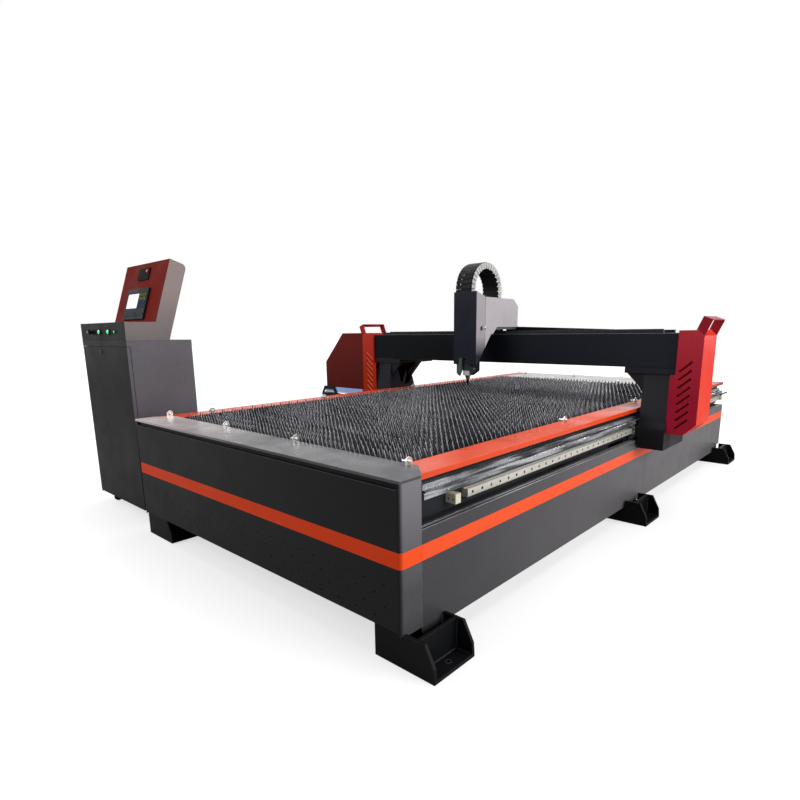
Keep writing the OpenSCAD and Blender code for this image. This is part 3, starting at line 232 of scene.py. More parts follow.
def make_materials():
    """One finish per slot of the record, and the extra ones that scene pieces use."""
    m = {}
    m["dark_frame"] = Finish("frame_paint", "#232427", 0.55, edge="#4c4e52", bump=0.06, gloss=0.1)
    m["foot_black"] = Finish("foot_paint", "#090a0c", 0.45, edge="#3c3e42", edge_size=0.003,
                             bump=0.12, vary=0.25, gloss=0.1)
    # Front panel: painted light makes it lighter towards the top, and the faces that look to the
    # front, stripe included, take painted shade.
    m["panel_charcoal"] = (
        Finish("panel_paint", "#4a494b", 0.42, edge="#6a6c70", smudge=0.07, bump=0.05, gloss=0.12,
               vary=0.18)
        .grade("#78757a", 2, 0.25, 0.62).facing("#18181a", -Y)
        .stripe(ORANGE, *STRIPE).stripe("#d23a06", *STRIPE, facing=-Y))
    # Side panels: lighter towards the rear as a painted sheen; the bright edges are painted
    # highlights where the folds catch light.
    m["side_grey"] = (
        Finish("side_paint", "#3e3d3f", 0.34, edge="#b8babd", edge_size=0.0025, smudge=0.08,
               bump=0.03, gloss=0.22, wear_and_highlight=0.9, vary=0.14)
        .grade("#5b595b", 1, -1.7, 0.2).stripe(ORANGE, *STRIPE))
    # Bed plates: lighter towards the left and towards the rear, a painted reflection.
    m["plate_grey"] = (
        Finish("plate_paint", "#4d4c4f", 0.30, edge="#b9babd", edge_size=0.0025, gloss=0.25,
               bump=0.06, vary=0.24, smudge=0.16)
        .grade("#cbbfbe", 0, 0.06, -0.92).grade("#b4b0ae", 1, 0.6, 1.4))
    # Ledges: darker towards the rear end, a painted shade.
    m["ledge_orange"] = (
        Finish("ledge_paint", "#dc4410", 0.30, edge="#ff9a78", edge_size=0.0025, gloss=0.3,
               bump=0.02, vary=0.10)
        .grade("#9a3018", 1, 1.2, 1.9))
    m["zinc"] = Finish("zinc_plating", "#cfcfcd", 0.30, metal=0.85, vary=0.18, bump=0.05,
                       edge="#f4f4f2")
    # Slats: the bright tooth edges are painted highlights.
    m["slat_steel"] = Finish("slat_scale", "#545459", 0.40, metal=0.55, vary=0.5, smudge=0.18,
                             bump=0.35, grain=140, edge="#e2e1e4", edge_size=0.0028, wear_and_highlight=1.0)
    m["rail_steel"] = (
        Finish("ground_steel", "#d8d4ca", 0.26, metal=0.45, vary=0.08, stretch=(1, 0.03, 1),
               bump=0.03, edge="#f4f1e8")
        .stains_and_reflections("#8a857a", 0.5, 30, 0.5, 0.75, (1, 0.05, 1)).grade(DARK_GAP, 2, 0.80, 0.95))
    # Rack: the white edges are painted highlights and the dark streaks painted reflections of the
    # teeth.
    m["rack_steel"] = (
        Finish("rack_steel", "#c3c7cb", 0.28, metal=0.8, vary=0.35, bump=0.25, grain=160,
               stretch=(1, 0.1, 1), edge="#ffffff", edge_size=0.003, wear_and_highlight=0.9)
        .stains_and_reflections("#2c2e31", 0.9, 55, 0.46, 0.60, (1, 0.06, 1)).grade(DARK_GAP, 2, 0.80, 0.95))
    m["stop_cream"] = (
        Finish("cream_paint", "#cfc8b2", 0.42, edge="#8f8b7e", bump=0.06)
        .grade("#17181a", 2, 0.5190, 0.5195))
    m["tray_steel"] = Finish("tray_paint", "#3a3c40", 0.50, edge="#6d7074", bump=0.06, gloss=0.15)
    # Console cabinet: darker towards the bottom, and darker still on the faces that look to the
    # front: painted shade.
    m["cabinet_grey"] = (
        Finish("cabinet_paint", "#605d62", 0.40, edge="#7c7d80", edge_size=0.0025, smudge=0.08,
               bump=0.03, gloss=0.10, vary=0.16)
        .grade("#4e4b50", 2, 0.75, 0.25).facing("#171718", -Y))
    # Console head: lighter towards the top and dark on the faces that look to the front: painted
    # light and shade.
    m["band_grey"] = (
        Finish("band_paint", "#6f6868", 0.42, edge="#8a8b8e", edge_size=0.0025, smudge=0.08,
               bump=0.03, gloss=0.08, vary=0.16)
        .grade("#938683", 2, 1.02, 1.30).facing("#0f1011", -Y))
    m["lock_dark"] = Finish("lock_plating", "#303236", 0.35, metal=0.6, bump=0.04)
    # Handles: more orange towards the left, a painted light.
    m["handle_red"] = (
        Finish("handle_paint", "#8e1727", 0.34, edge="#c24a4c", gloss=0.10, bump=0.02, vary=0.10)
        .grade("#b0281a", 0, 0.5, -0.5))
    m["console_red"] = Finish("console_paint", "#6e1c15", 0.5, edge="#9c4438", bump=0.03,
                              vary=0.14, gloss=0.02)
    m["controller_black"] = Finish("controller_shell", "#101113", 0.45, bump=0.1, grain=1400,
                                   gloss=0.1)
    m["window_black"] = Finish("dark_window", "#040404", 0.45, bump=0.004, gloss=0.03, vary=0.05)
    m["collar_black"] = Finish("collar_plastic", "#0e0f11", 0.35, bump=0.06, gloss=0.12)
    m["key_black"] = Finish("key_plastic", "#121316", 0.35, bump=0.06)
    m["button_green"] = (
        Finish("lit_button", "#1fae5a", 0.22, coat=0.6, bump=0.01).glow("#2bff86", 1.0))
    # Beam: lighter towards the right end as painted light; the bright edges are a painted highlight
    # along the top edge.
    m["beam_dark"] = (
        Finish("beam_paint", "#0d1014", 0.40, edge="#b4b6ba", edge_size=0.005, bump=0.04,
               smudge=0.05, gloss=0.08)
        .grade("#1f212b", 0, -0.2, 0.95))
    # Legs: darker towards the bottom, a painted shade.
    m["leg_dark"] = (
        Finish("leg_paint", "#1b1c22", 0.46, edge="#50535a", edge_size=0.004, bump=0.14, grain=420,
               gloss=0.14)
        .grade("#121316", 2, 0.62, 0.45))
    # Drive covers: the faces that look to the front take painted shade, crimson towards the right,
    # and painted light makes the upper parts lighter.
    m["cover_red"] = (
        Finish("cover_paint", "#de2f08", 0.28, edge="#ff8f78", gloss=0.08, coat=0.03, bump=0.02,
               vary=0.10)
        .facing("#b42c08", -Y, "#9a1830", 0, -0.5, 0.5).grade("#e04a50", 2, 0.70, 1.10, 0.40))
    # Cable box: lighter towards the top, a painted light.
    m["box_maroon"] = (
        Finish("box_paint", "#581a16", 0.38, edge="#8c4840", bump=0.04, gloss=0.05, vary=0.14)
        .grade("#6a241f", 2, 0.6, 1.0))
    # Blue film: the pale pink lower lip is a painted reflection of the orange ledge.
    m["blue_film"] = (
        Finish("film_blue", "#a2c0f4", 0.22, coat=0.6, bump=0.12, grain=40, vary=0.18)
        .grade("#f4e4ea", 2, 0.5570, 0.5545))
    m["hoop_black"] = Finish("hoop_paint", "#050609", 0.4, vary=0.1, bump=0.03, gloss=0.2)
    m["motor_black"] = Finish("motor_paint", "#17181a", 0.46, edge="#46484c", bump=0.08)
    m["chain_black"] = Finish("chain_plastic", "#0c0d0f", 0.42, bump=0.1, grain=900, vary=0.2,
                              edge="#303134", gloss=0.12)
    m["head_grey"] = Finish("head_side_paint", "#b3adb2", 0.30, edge="#dedcde", gloss=0.2,
                            bump=0.03, vary=0.08)
    # Head: the faces that look to the right go light grey towards the top, a painted reflection.
    m["head_dark"] = (
        Finish("head_front_paint", "#1f212c", 0.36, edge="#5a5d6b", bump=0.04, gloss=0.12)
        .facing("#2e2d33", X, "#a39ea2", 2, 0.90, 1.02))
    m["carriage_metal"] = Finish("cast_alloy", "#6f7175", 0.38, metal=0.8, bump=0.15, grain=300)
    m["torch_metal"] = (
        Finish("torch_brass", "#e6e2dc", 0.26, metal=0.5, vary=0.15, bump=0.04)
        .grade("#7d756c", 2, 0.778, 0.774).grade("#201b19", 2, 0.752, 0.748))
    m["wheel_black"] = Finish("tread_rubber", "#131415", 0.65, bump=0.2, grain=900)
    m["chain_silver"] = Finish("chain_side", "#b4b4b2", 0.38, metal=0.2, vary=0.3, bump=0.10,
                               edge="#44423f", edge_size=0.002, gloss=0.2)
    m["screw_black"] = Finish("screw_oxide", "#161618", 0.38, metal=0.7, bump=0.05)
    m["bright_steel"] = Finish("bright_steel", "#d0d1d3", 0.22, metal=0.9, vary=0.1, bump=0.03)
    m["clamp_black"] = (
        Finish("clamp_paint", "#0e0f12", 0.42, edge="#44464c", bump=0.1, gloss=0.15)
        .grade("#56625f", 1, -0.1969, -0.1972))
    m["screen_glass"] = (
        Finish("screen_glow", "#cfc8dc", 0.25, bump=0.003, gloss=0.1).glow("#dcd4ee", 0.75))
    for name, code, gloss, vary in (("key_lime", "#5f602c", 0.03, 0.4),
                                    ("key_blue", "#2f3b4c", 0.03, 0.4),
                                    ("key_grey", "#3d3f42", 0.05, 0.3)):
        m[name] = Finish(name, code, 0.55, bump=0.04, gloss=gloss, vary=vary)
    m["lamp_green"] = Finish("lamp_lens", "#1f7a45", 0.16, coat=0.8, bump=0.01).glow("#2bff86", 0.8)
    m["lamp_red"] = Finish("lamp_red", "#a01818", 0.2, coat=0.8, bump=0.01).glow("#ff2a20", 0.5)
    m["weld"] = Finish("weld_bead", "#1c1d1f", 0.45, metal=0.3, vary=0.3, bump=0.3, grain=260)
    # Strips that stand for painted highlights on folded edges: a bright one broken by streaks, and
    # a dull one.
    m["flange_glint"] = (
        Finish("painted_flange_highlight", "#dcdde0", 0.3, metal=0.2, vary=0.3, bump=0.05)
        .stains_and_reflections("#5a5b5e", 0.8, 9, 0.5, 0.65, (1, 0.2, 1)))
    # Pale coral for the left louvres' lips: a painted highlight on the red cover paint.
    m["coral_lip_highlight"] = Finish("painted_lip_glint", "#ff7a55", 0.3, vary=0.1, bump=0.02, gloss=0.1)
    m["dull_highlight"] = Finish("painted_beam_highlight", "#74767b", 0.4, vary=0.3, bump=0.05, gloss=0.2)
    m["hole_dark"] = Finish("hole_shadow", "#030303", 0.8, bump=0.02, gloss=0.02)
    return m


MAT = make_materials()
OWN_FINISH = {"torch_holder": "clamp_black", "console_head": "band_grey", "door_lock": "lock_dark",
              "cover_handles": "handle_red"}


def finish_nodes():
    """Every CAD node takes its slot's material, or the closer one named for it."""
    for name, node in NODES.items():
        node.data.materials.clear()
        node.data.materials.append(MAT[OWN_FINISH.get(name, SLOT_OF[name])].mat)


# ---------------------------- mesh building

def in_scene(name, data):
    obj = bpy.data.objects.new(name, data)
    bpy.context.scene.collection.objects.link(obj)
    return obj


def piece(name, body, slot, build, material=None):
    """Makes one mesh piece: build fills the bmesh, then it takes its finish and rides its body."""
    bm = bmesh.new()
    build(bm)
    bmesh.ops.recalc_face_normals(bm, faces=bm.faces)
    mesh = bpy.data.meshes.new(name)
    bm.to_mesh(mesh)
    bm.free()
    obj = in_scene(name, mesh)
    mesh.materials.append(MAT[material or slot].mat)
    if body:
        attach(obj, body)
    return obj


def skin(bm, near, far):
    """Quads between two loops of vertices."""
    for i in range(len(near)):
        j = (i + 1) % len(near)
        bm.faces.new((near[i], near[j], far[j], far[i]))


def lathe(bm, origin, axis, profile, sides=24):
    """Turned shape: profile is (radius, height) pairs along the axis; a radius of 0 closes it."""
    origin, axis = Vector(origin), Vector(axis).normalized()
    u = axis.cross(Z if abs(axis.z) < 0.9 else X).normalized()
    v = axis.cross(u)
    turns = [2 * math.pi * i / sides for i in range(sides)]
    rings = []
    for radius, height in profile:
        centre = origin + axis * height
        if radius == 0:
            rings.append([bm.verts.new(centre)])
        else:
            rings.append([bm.verts.new(centre + radius * (u * math.cos(t) + v * math.sin(t)))
                          for t in turns])
    for low, high in zip(rings, rings[1:]):
        for i in range(sides):
            j = (i + 1) % sides
            if len(low) == 1:
                bm.faces.new((low[0], high[j], high[i]))
            elif len(high) == 1:
                bm.faces.new((low[i], low[j], high[0]))
            else:
                bm.faces.new((low[i], low[j], high[j], high[i]))


def slab(bm, low, high):
    """Box between two corners."""
    low, high = Vector(low), Vector(high)
    place = Matrix.Translation((low + high) / 2) @ Matrix.Diagonal((*(high - low), 1))
    bmesh.ops.create_cube(bm, size=1.0, matrix=place)


def side_slab(bm, side, x0, x1, y0, y1, z0, z1):
    """Box between two distances from the middle, on the left (-1) or the right (1)."""
    a, b = sorted((side * x0, side * x1))
    slab(bm, (a, y0, z0), (b, y1, z1))


def prism(bm, outline, push):
    """Solid with a flat outline, pushed along a vector."""
    near = [bm.verts.new(Vector(p)) for p in outline]
    far = [bm.verts.new(Vector(p) + Vector(push)) for p in outline]
    bm.faces.new(near[::-1])
    bm.faces.new(far)
    skin(bm, near, far)


def upright(points, y, side=1):
    """Points (x, z) set upright in the plane at y, on the right side or mirrored to the left."""
    return [Vector((side * x, y, z)) for x, z in points]


def cap_screw(bm, at, axis, r, h):
    """Socket head screw: a round head with a bevelled rim and a recess."""
    lathe(bm, at, axis, [(r, 0), (r, h * 0.85), (r * 0.88, h), (r * 0.5, h), (r * 0.5, h * 0.45),
                         (0, h * 0.45)], sides=12)


def hex_bolt(bm, at, axis, r, h):
    """Hex head bolt on its washer."""
    washer_r, washer_h = r * 1.35, h * 0.18
    lathe(bm, at, axis, [(0, 0), (washer_r, 0), (washer_r, washer_h), (0, washer_h)], sides=18)
    lathe(bm, at, axis, [(r, washer_h), (r, h * 0.9), (r * 0.85, h), (0, h)], sides=6)


def button_screw(bm, at, axis, r, h):
    """Low domed screw with a socket."""
    lathe(bm, at, axis, [(r, 0), (r * 0.95, h * 0.44), (r * 0.72, h * 0.84), (r * 0.4, h),
                         (r * 0.36, h * 0.36), (0, h * 0.36)], sides=12)


def screws(name, body, slot, make, places, radius, height, material):
    """One piece with a screw at each (place, outward direction)."""
    def build(bm):
        for at, axis in places:
            make(bm, at, axis, radius, height)
    piece(name, body, slot, build, material)


def stations(low, high, first, last, pitch):
    """Places at a pitch, from first after the low end to last or more before the high end."""
    count = math.floor(((high - last) - (low + first)) / pitch + 1e-6)
    return [low + first + i * pitch for i in range(count + 1)]


# ---------------------------- cable chains

LINK_WALL = 3 * MM


def link_plate(bm, a, b, tangent, normal, half, base, push):
    """Side plate of a chain link between two joints, with round ends."""
    outline = []
    for centre, direction in ((a, -1), (b, 1)):
        for k in range(7):
            angle = math.pi * (k / 6 - 0.5) * direction
            outline.append(centre + base + half * (tangent * direction * math.cos(angle)
                                                   - normal * math.sin(angle)))
    prism(bm, outline, push)


def chain_run(bm, path, width, height, side, plates=True, share=0.72):
    """Links between the points of a path: overlapping side plates, and bars on both faces."""
    for i, (a, b) in enumerate(zip(path, path[1:])):
        tangent = (b - a).normalized()
        normal = side.cross(tangent).normalized()
        inset = LINK_WALL if i % 2 else 0.0
        if plates:
            for offset, wall in ((inset, LINK_WALL), (width - inset, -LINK_WALL)):
                link_plate(bm, a, b, tangent, normal, height / 2 - 0.5 * MM, side * offset,
                           side * wall)
        middle, reach = (a + b) / 2, tangent * (b - a).length * share / 2
        near, far = side * 2 * LINK_WALL, side * (width - 2 * LINK_WALL)
        for sign in SIDES:
            level = middle + normal * sign * (height / 2 - 2.5 * MM)
            prism(bm, [level - reach + near, level + reach + near, level + reach + far,
                       level - reach + far], normal * sign * 2 * MM)


def straight(a, b, pitch):
    """Points from a to b at about the given pitch."""
    count = max(1, round((b - a).length / pitch))
    return [a.lerp(b, i / count) for i in range(count + 1)]


def rolled(centre, radius, start, stop, pitch, along):
    """Points on an upright arc from start to stop, in degrees from the direction along."""
    count = max(3, round(math.radians(abs(stop - start)) * radius / pitch))
    angles = [math.radians(start + (stop - start) * i / count) for i in range(count + 1)]
    return [centre + radius * (along * math.cos(t) + Z * math.sin(t)) for t in angles]


def drag_chain(name, node, tray, body, along, side, height, radius, pitch, lay):
    """Lower run in its trough from lay onwards, the bend, and the upper run."""
    low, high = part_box(node)
    width = (high - low).dot(side)
    start = Vector((low.x, low.y, 0)) - along * low.dot(along)
    bend_at = high.dot(along) - radius - height / 2
    centre = start + along * bend_at + Z * (low.z + height / 2 + radius)
    moving = start + along * low.dot(along) + Z * (high.z - height / 2)
    top = centre + Z * radius
    fixed = start + along * lay + Z * (low.z + height / 2)

    def run_along(path):
        return lambda bm: chain_run(bm, path, width, height, side)

    bend = rolled(centre, radius, -90, 90, pitch * 0.8, along)
    piece(name + "_bend", body, "chain_black", run_along(bend))
    run = piece(name + "_upper", None, "chain_black", run_along(straight(moving, top, pitch)))
    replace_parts(run, node)
    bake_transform(run)
    piece(name + "_lower", BODY_OF[tray], "chain_black",
          run_along(straight(fixed, centre - Z * radius, pitch)))


def drag_chains():
    """The chain behind the beam and the long one beside the table."""
    drag_chain("cross_chain", "x_chain", "x_chain_tray", "chain_x", X, Y,
               height=34 * MM, radius=42 * MM, pitch=40 * MM, lay=0.11)
    drag_chain("long_chain", "y_chain", "y_chain_tray", "chain_y", Y, X,
               height=40 * MM, radius=75 * MM, pitch=60 * MM, lay=-0.02)


def arch_chain():
    """Looped chain over the head: black links with side plates, pale on the right side."""
    low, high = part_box("arch_chain")
    depth, pitch = 43 * MM, 27 * MM
    outer = (high.y - low.y) / 2
    r = outer - depth / 2
    centre = Vector((low.x, (low.y + high.y) / 2, high.z - outer))
    front_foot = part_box("head_cover")[1].z - 2 * MM
    rear_foot = low.z + 1 * MM
    front, rear = centre - Y * r, centre + Y * r
    path = straight(front + Z * (front_foot - centre.z), front, pitch)[:-1]
    path += rolled(centre, r, 180, 0, pitch, Y)
    path += straight(rear, rear + Z * (rear_foot - centre.z), pitch)[1:]
    width = high.x - low.x
    links = piece("loop_chain_links", "carriage", "chain_black",
                  lambda bm: chain_run(bm, path, width - 2 * MM, depth, X, plates=False,
                                       share=0.94))
    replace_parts(links, "arch_chain")
    half = depth / 2 - 2.5 * MM
    wall, step = 2.2 * MM, 0.4 * MM

    def side_plates(offset):
        """Flat plates almost as deep as the chain, with narrow gaps fanning out along the arch."""
        def build(bm):
            for i, (a, b) in enumerate(zip(path, path[1:])):
                tangent = (b - a).normalized()
                normal = X.cross(tangent)
                gap = tangent * 2.2 * MM
                on_arch = 0 < i < len(path) - 2
                fan = tangent * half * ((b - a).length / (2 * r) if on_arch else 0.0)
                corners = [a + gap - normal * half + fan, b - gap - normal * half - fan,
                           b - gap + normal * half + fan, a + gap + normal * half - fan]
                prism(bm, [c + X * offset for c in corners], X * (wall + (i % 2) * step))
        return build
    piece("loop_chain_plates", "carriage", "chain_black", side_plates(width - 1.6 * MM),
          "chain_silver")
    piece("loop_chain_inner_plates", "carriage", "chain_black", side_plates(-0.6 * MM))


# ---------------------------- console

LEAN = math.radians(18.5)                       # of the screen housing's face from upright
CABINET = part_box("console_cabinet")
FACE_FOOT = (CABINET[0].y + 0.169, CABINET[1].z + 0.100)        # (y, z) of the face's lower edge
FACE_WIDTH, FACE_HEIGHT = 0.585, 0.362
PANEL = (CABINET[0].x + 0.219, 0.018)           # controller's lower left corner: x, and up the face
WINDOW = (CABINET[0].x + 0.298, 0.258)          # the same corner of the display window


def on_face(x, up, out):
    """A point on the tilted face: along it, up it from its foot, and out of it."""
    return Vector((x, FACE_FOOT[0] + up * math.sin(LEAN) - out * math.cos(LEAN),
                   FACE_FOOT[1] + up * math.cos(LEAN) + out * math.sin(LEAN)))


OUTWARD = on_face(0, 0, 1) - on_face(0, 0, 0)


def face_tile(bm, x0, x1, v0, v1, out, thick, corner=1.2 * MM):
    """Rounded tile lying on the tilted face."""
    centres = ((x1 - corner, v1 - corner, 0), (x0 + corner, v1 - corner, 90),
               (x0 + corner, v0 + corner, 180), (x1 - corner, v0 + corner, 270))
    turns = [(x, v, math.radians(a + t)) for x, v, a in centres for t in (0, 30, 60, 90)]
    outline = [on_face(x + corner * math.cos(t), v + corner * math.sin(t), out)
               for x, v, t in turns]
    prism(bm, outline, OUTWARD * thick)


def console_face():
    """Paint on the housing's face, the controller's screen and keys, the window's lamp."""
    right, margin = CABINET[1].x, 0.4 * MM
    piece("console_face_paint", "table", "box_maroon",
          lambda bm: face_tile(bm, right - FACE_WIDTH + margin, right - margin, 1 * MM, FACE_HEIGHT,
                               0.02 * MM, 0.22 * MM), "console_red")

    def on_panel(x0, x1, v0, v1, out, thick, corner=1.2 * MM):
        x, v = PANEL
        return lambda bm: face_tile(bm, x + x0, x + x1, v + v0, v + v1, out, thick, corner)
    piece("console_screen_glass", "table", "controller_black",
          on_panel(0.0195, 0.1685, 0.0675, 0.1545, 10.2 * MM, 1.4 * MM, 3 * MM), "screen_glass")
    piece("console_screen_bezel", "table", "controller_black",
          on_panel(0.006, 0.280, 0.160, 0.164, 12.4 * MM, 0.8 * MM))

    row = 23 * MM
    square, soft = (row, 17 * MM, 17 * MM), (25 * MM, 19 * MM, 24 * MM)   # pitch, width, height

    def key_block(columns, rows, x, v, size):
        step, width, height = size

        def build(bm):
            for i in range(columns):
                for j in rows:
                    left, foot = PANEL[0] + x + i * step, PANEL[1] + v + j * row
                    face_tile(bm, left, left + width, foot, foot + height, 13.6 * MM, 1.0 * MM)
        return build
    for label, block, finish in (("lime", key_block(4, (2, 3), 0.186, 0.068, square), "lime"),
                                 ("blue", key_block(4, (0, 1), 0.186, 0.068, square), "blue"),
                                 ("arrow", key_block(4, (0,), 0.186, 0.022, square), "grey"),
                                 ("soft", key_block(6, (0,), 0.020, 0.020, soft), "grey")):
        piece("console_keys_" + label, "table", "controller_black", block, "key_" + finish)

    x, v = WINDOW
    piece("console_window_lamp", "table", "window_black",
          lambda bm: lathe(bm, on_face(x + 0.112, v + 0.052, 6 * MM), OUTWARD,
                           [(9 * MM, 0), (9 * MM, 2 * MM), (6 * MM, 4 * MM), (0, 4.6 * MM)],
                           sides=20), "lamp_red")
    places = [(on_face(x + dx, v + dv, 6.2 * MM), OUTWARD)
              for dx in (0.006, 0.139) for dv in (0.006, 0.066)]
    screws("console_window_screws", "table", "window_black", button_screw, places, 2.2 * MM,
           1.1 * MM, "screw_black")


def console_switches():
    """Domed lit caps with bright rings on the buttons, a key blade, and the small lamp's lens."""
    low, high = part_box("start_button")
    z = (low.z + high.z) / 2
    dome = [(9.6 * MM, 0), (9.4 * MM, 1.6 * MM), (7 * MM, 3 * MM), (3.5 * MM, 3.7 * MM),
            (0, 3.9 * MM)]
    ring = [(10.5 * MM, 0), (11.8 * MM, 0), (11.8 * MM, 4 * MM), (11 * MM, 4.6 * MM),
            (10.5 * MM, 4.4 * MM)]
    for node in ("start_button", "stop_button"):
        low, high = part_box(node)
        at = Vector(((low.x + high.x) / 2, low.y, z))
        piece(node + "_lens", BODY_OF[node], "button_green",
              lambda bm: lathe(bm, at + Y * 0.5 * MM, -Y, dome))
        piece(node + "_ring", BODY_OF[node], "button_green",
              lambda bm: lathe(bm, at + Y * 5 * MM, -Y, ring, sides=28), "bright_steel")
    low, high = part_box("key_switch")
    x, thick = (low.x + high.x) / 2, 2.4 * MM
    root, tip = low.y + 1 * MM, low.y - 7 * MM
    blade = [(x - thick / 2, y, z + h) for y, h in ((root, -9 * MM), (root, 9 * MM), (tip, 7 * MM),
                                                    (tip, -7 * MM))]
    piece("key_blade", "key", "key_black", lambda bm: prism(bm, blade, X * thick), "bright_steel")
    lamp = Vector((CABINET[0].x + 0.5265, CABINET[0].y - 4.6 * MM, z))
    piece("signal_lens", "table", "collar_black",
          lambda bm: lathe(bm, lamp, -Y, [(6.6 * MM, 0), (6.2 * MM, 1.5 * MM), (3.5 * MM, 3 * MM),
                                          (0, 3.4 * MM)], sides=20), "lamp_green")


def caster_details():
    """Hub caps and axle nuts on every caster."""
    for k in range(1, 5):
        low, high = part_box(f"caster_wheel_{k}")
        middle, r = (low + high) / 2, (high.z - low.z) / 2
        half = (high.x - low.x) / 2
        cap = [(r * 0.52, 0), (r * 0.5, 0.9 * MM), (r * 0.3, 1.2 * MM), (r * 0.3, 0.4 * MM),
               (0, 0.4 * MM)]

        def hub(bm):
            for side in SIDES:
                lathe(bm, middle + X * side * (half - 0.5 * MM), X * side, cap)
        piece(f"caster_hub_{k}", f"wheel_{k}", "wheel_black", hub, "key_grey")
        low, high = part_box(f"caster_fork_{k}")
        nuts = [(Vector((x, middle.y, middle.z)), direction)
                for x, direction in ((low.x + 3.2 * MM, -X), (high.x - 3.2 * MM, X))]
        screws(f"caster_nuts_{k}", f"fork_{k}", "zinc", hex_bolt, nuts, 4.2 * MM, 3 * MM,
               "bright_steel")


# ---------------------------- fasteners, welds, painted highlights and painted shade

FOOT_WIDTH = 257 * MM


def bead(bm, a, b, radius, seed):
    """Weld bead: a thick line with ripples along it."""
    a, b = Vector(a), Vector(b)
    length = (b - a).length
    count = max(2, round(length / (radius * 0.9)))
    rings = []
    for i in range(count + 1):
        swell = 1 + 0.22 * math.sin(i * 2.1 + seed) + 0.12 * math.sin(i * 0.7 + seed * 3)
        rings.append((radius * swell if 0 < i < count else 0, length * i / count))
    lathe(bm, a, b - a, rings, sides=7)


def foot_welds():
    """Beads where the feet's webs and gussets meet their base plates."""
    low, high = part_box("feet")
    sheet, length, gusset_top = 12 * MM, 210 * MM, 112 * MM
    reach = length / 2 - sheet                  # from a foot's middle to its gussets

    def build(bm):
        for edge in (high.x, low.x + FOOT_WIDTH):
            web, tip = edge - 66 * MM, edge - 6 * MM
            for middle in (low.y + length / 2, 0.0, high.y - length / 2):
                for side in SIDES:
                    y = middle + side * reach
                    bead(bm, (web, y, sheet), (tip, y, sheet), 3.2 * MM, edge + y)
                    bead(bm, (web, y, sheet + 4 * MM), (web, y, gusset_top), 3.0 * MM, y)
                bead(bm, (web, middle - reach, sheet), (web, middle + reach, sheet), 3.4 * MM,
                     middle)
    piece("foot_weld_beads", "table", "foot_black", build, "weld")


def rail_screws():
    """Dark socket screws sunk in the rails, and bright ones on the racks' backing bars."""
    low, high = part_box("y_rails")
    x, z = high.x - 8.8 * MM, (low.z + high.z) / 2
    places = [(Vector((side * x, y, z)), X * side)
              for side in SIDES for y in stations(low.y, high.y, 0.030, 0.010, 0.060)]
    screws("rail_cap_screws", "table", "rail_steel", cap_screw, places, 5.6 * MM, 6 * MM,
           "screw_black")
    low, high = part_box("y_racks")
    places = [(Vector((side * high.x, y, high.z - 30 * MM)), X * side)
              for side in SIDES for y in stations(low.y, high.y, 0.120, 0.120, 0.240)]
    screws("rack_cap_screws", "table", "rack_steel", cap_screw, places, 4.2 * MM, 4 * MM,
           "bright_steel")
    low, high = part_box("beam_rails")
    places = [(Vector((x, y, high.z - 5.8 * MM)), Z)
              for y in (low.y + 10 * MM, high.y - 10 * MM)
              for x in stations(low.x, high.x, 0.030, 0.020, 0.060)]
    screws("beam_rail_screws", "gantry", "rail_steel", cap_screw, places, 4.2 * MM, 4 * MM,
           "screw_black")


def panel_edge_highlights():
    """Painted highlights: bright strips along the side panels' flanges where the folds catch light,
    and a dull one on the beam's front.
    """
    low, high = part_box("side_panels")

    def build(bm):
        for side in SIDES:
            for inset, width in ((2.0 * MM, 1.9 * MM), (17.0 * MM, 1.6 * MM)):
                x = high.x - inset
                side_slab(bm, side, x, x + width, low.y + 4 * MM, high.y - 4 * MM,
                          high.z - 0.1 * MM, high.z + 0.9 * MM)
    piece("panel_edge_highlights", "table", "side_grey", build, "flange_glint")
    low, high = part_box("gantry_beam")
    piece("beam_edge_highlight", "gantry", "beam_dark",
          lambda bm: slab(bm, (low.x + 4 * MM, low.y - 0.2 * MM, high.z - 1.5 * MM),
                          (high.x - 4 * MM, low.y + 1.5 * MM, high.z + 0.4 * MM)), "dull_highlight")


def vent_shade_sheet():
    """Dark sheet behind the front panel's vents: painted shade for the inside of the panel."""
    low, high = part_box("end_cap")
    piece("vent_shade_sheet", "table", "dark_frame",
          lambda bm: slab(bm, (low.x + 0.09, low.y + 3.2 * MM, low.z + 12 * MM),
                          (high.x - 0.02, low.y + 4.0 * MM, low.z + 0.235)), "hole_dark")


def turned(name, body, slot, places, axis, profile, sides, material):
    """One piece with the same turned shape at each place."""
    def build(bm):
        for at in places:
            lathe(bm, at, axis, profile, sides)
    piece(name, body, slot, build, material)


def stop_holes():
    """Screw holes in the ends of the front stops, drawn as dark discs of painted shade."""
    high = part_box("end_stops")[1]
    face_y, level = -1.6435, 0.497
    places = [Vector((side * (high.x - inset), face_y, level))
              for side in SIDES for inset in (12 * MM, 32 * MM)]
    turned("stop_screw_holes", "table", "stop_cream", places, -Y,
           [(4.2 * MM, -0.3 * MM), (4.2 * MM, 0.1 * MM), (0, 0.15 * MM)], 16, "hole_dark")


# ---------------------------- bed slats and drive covers

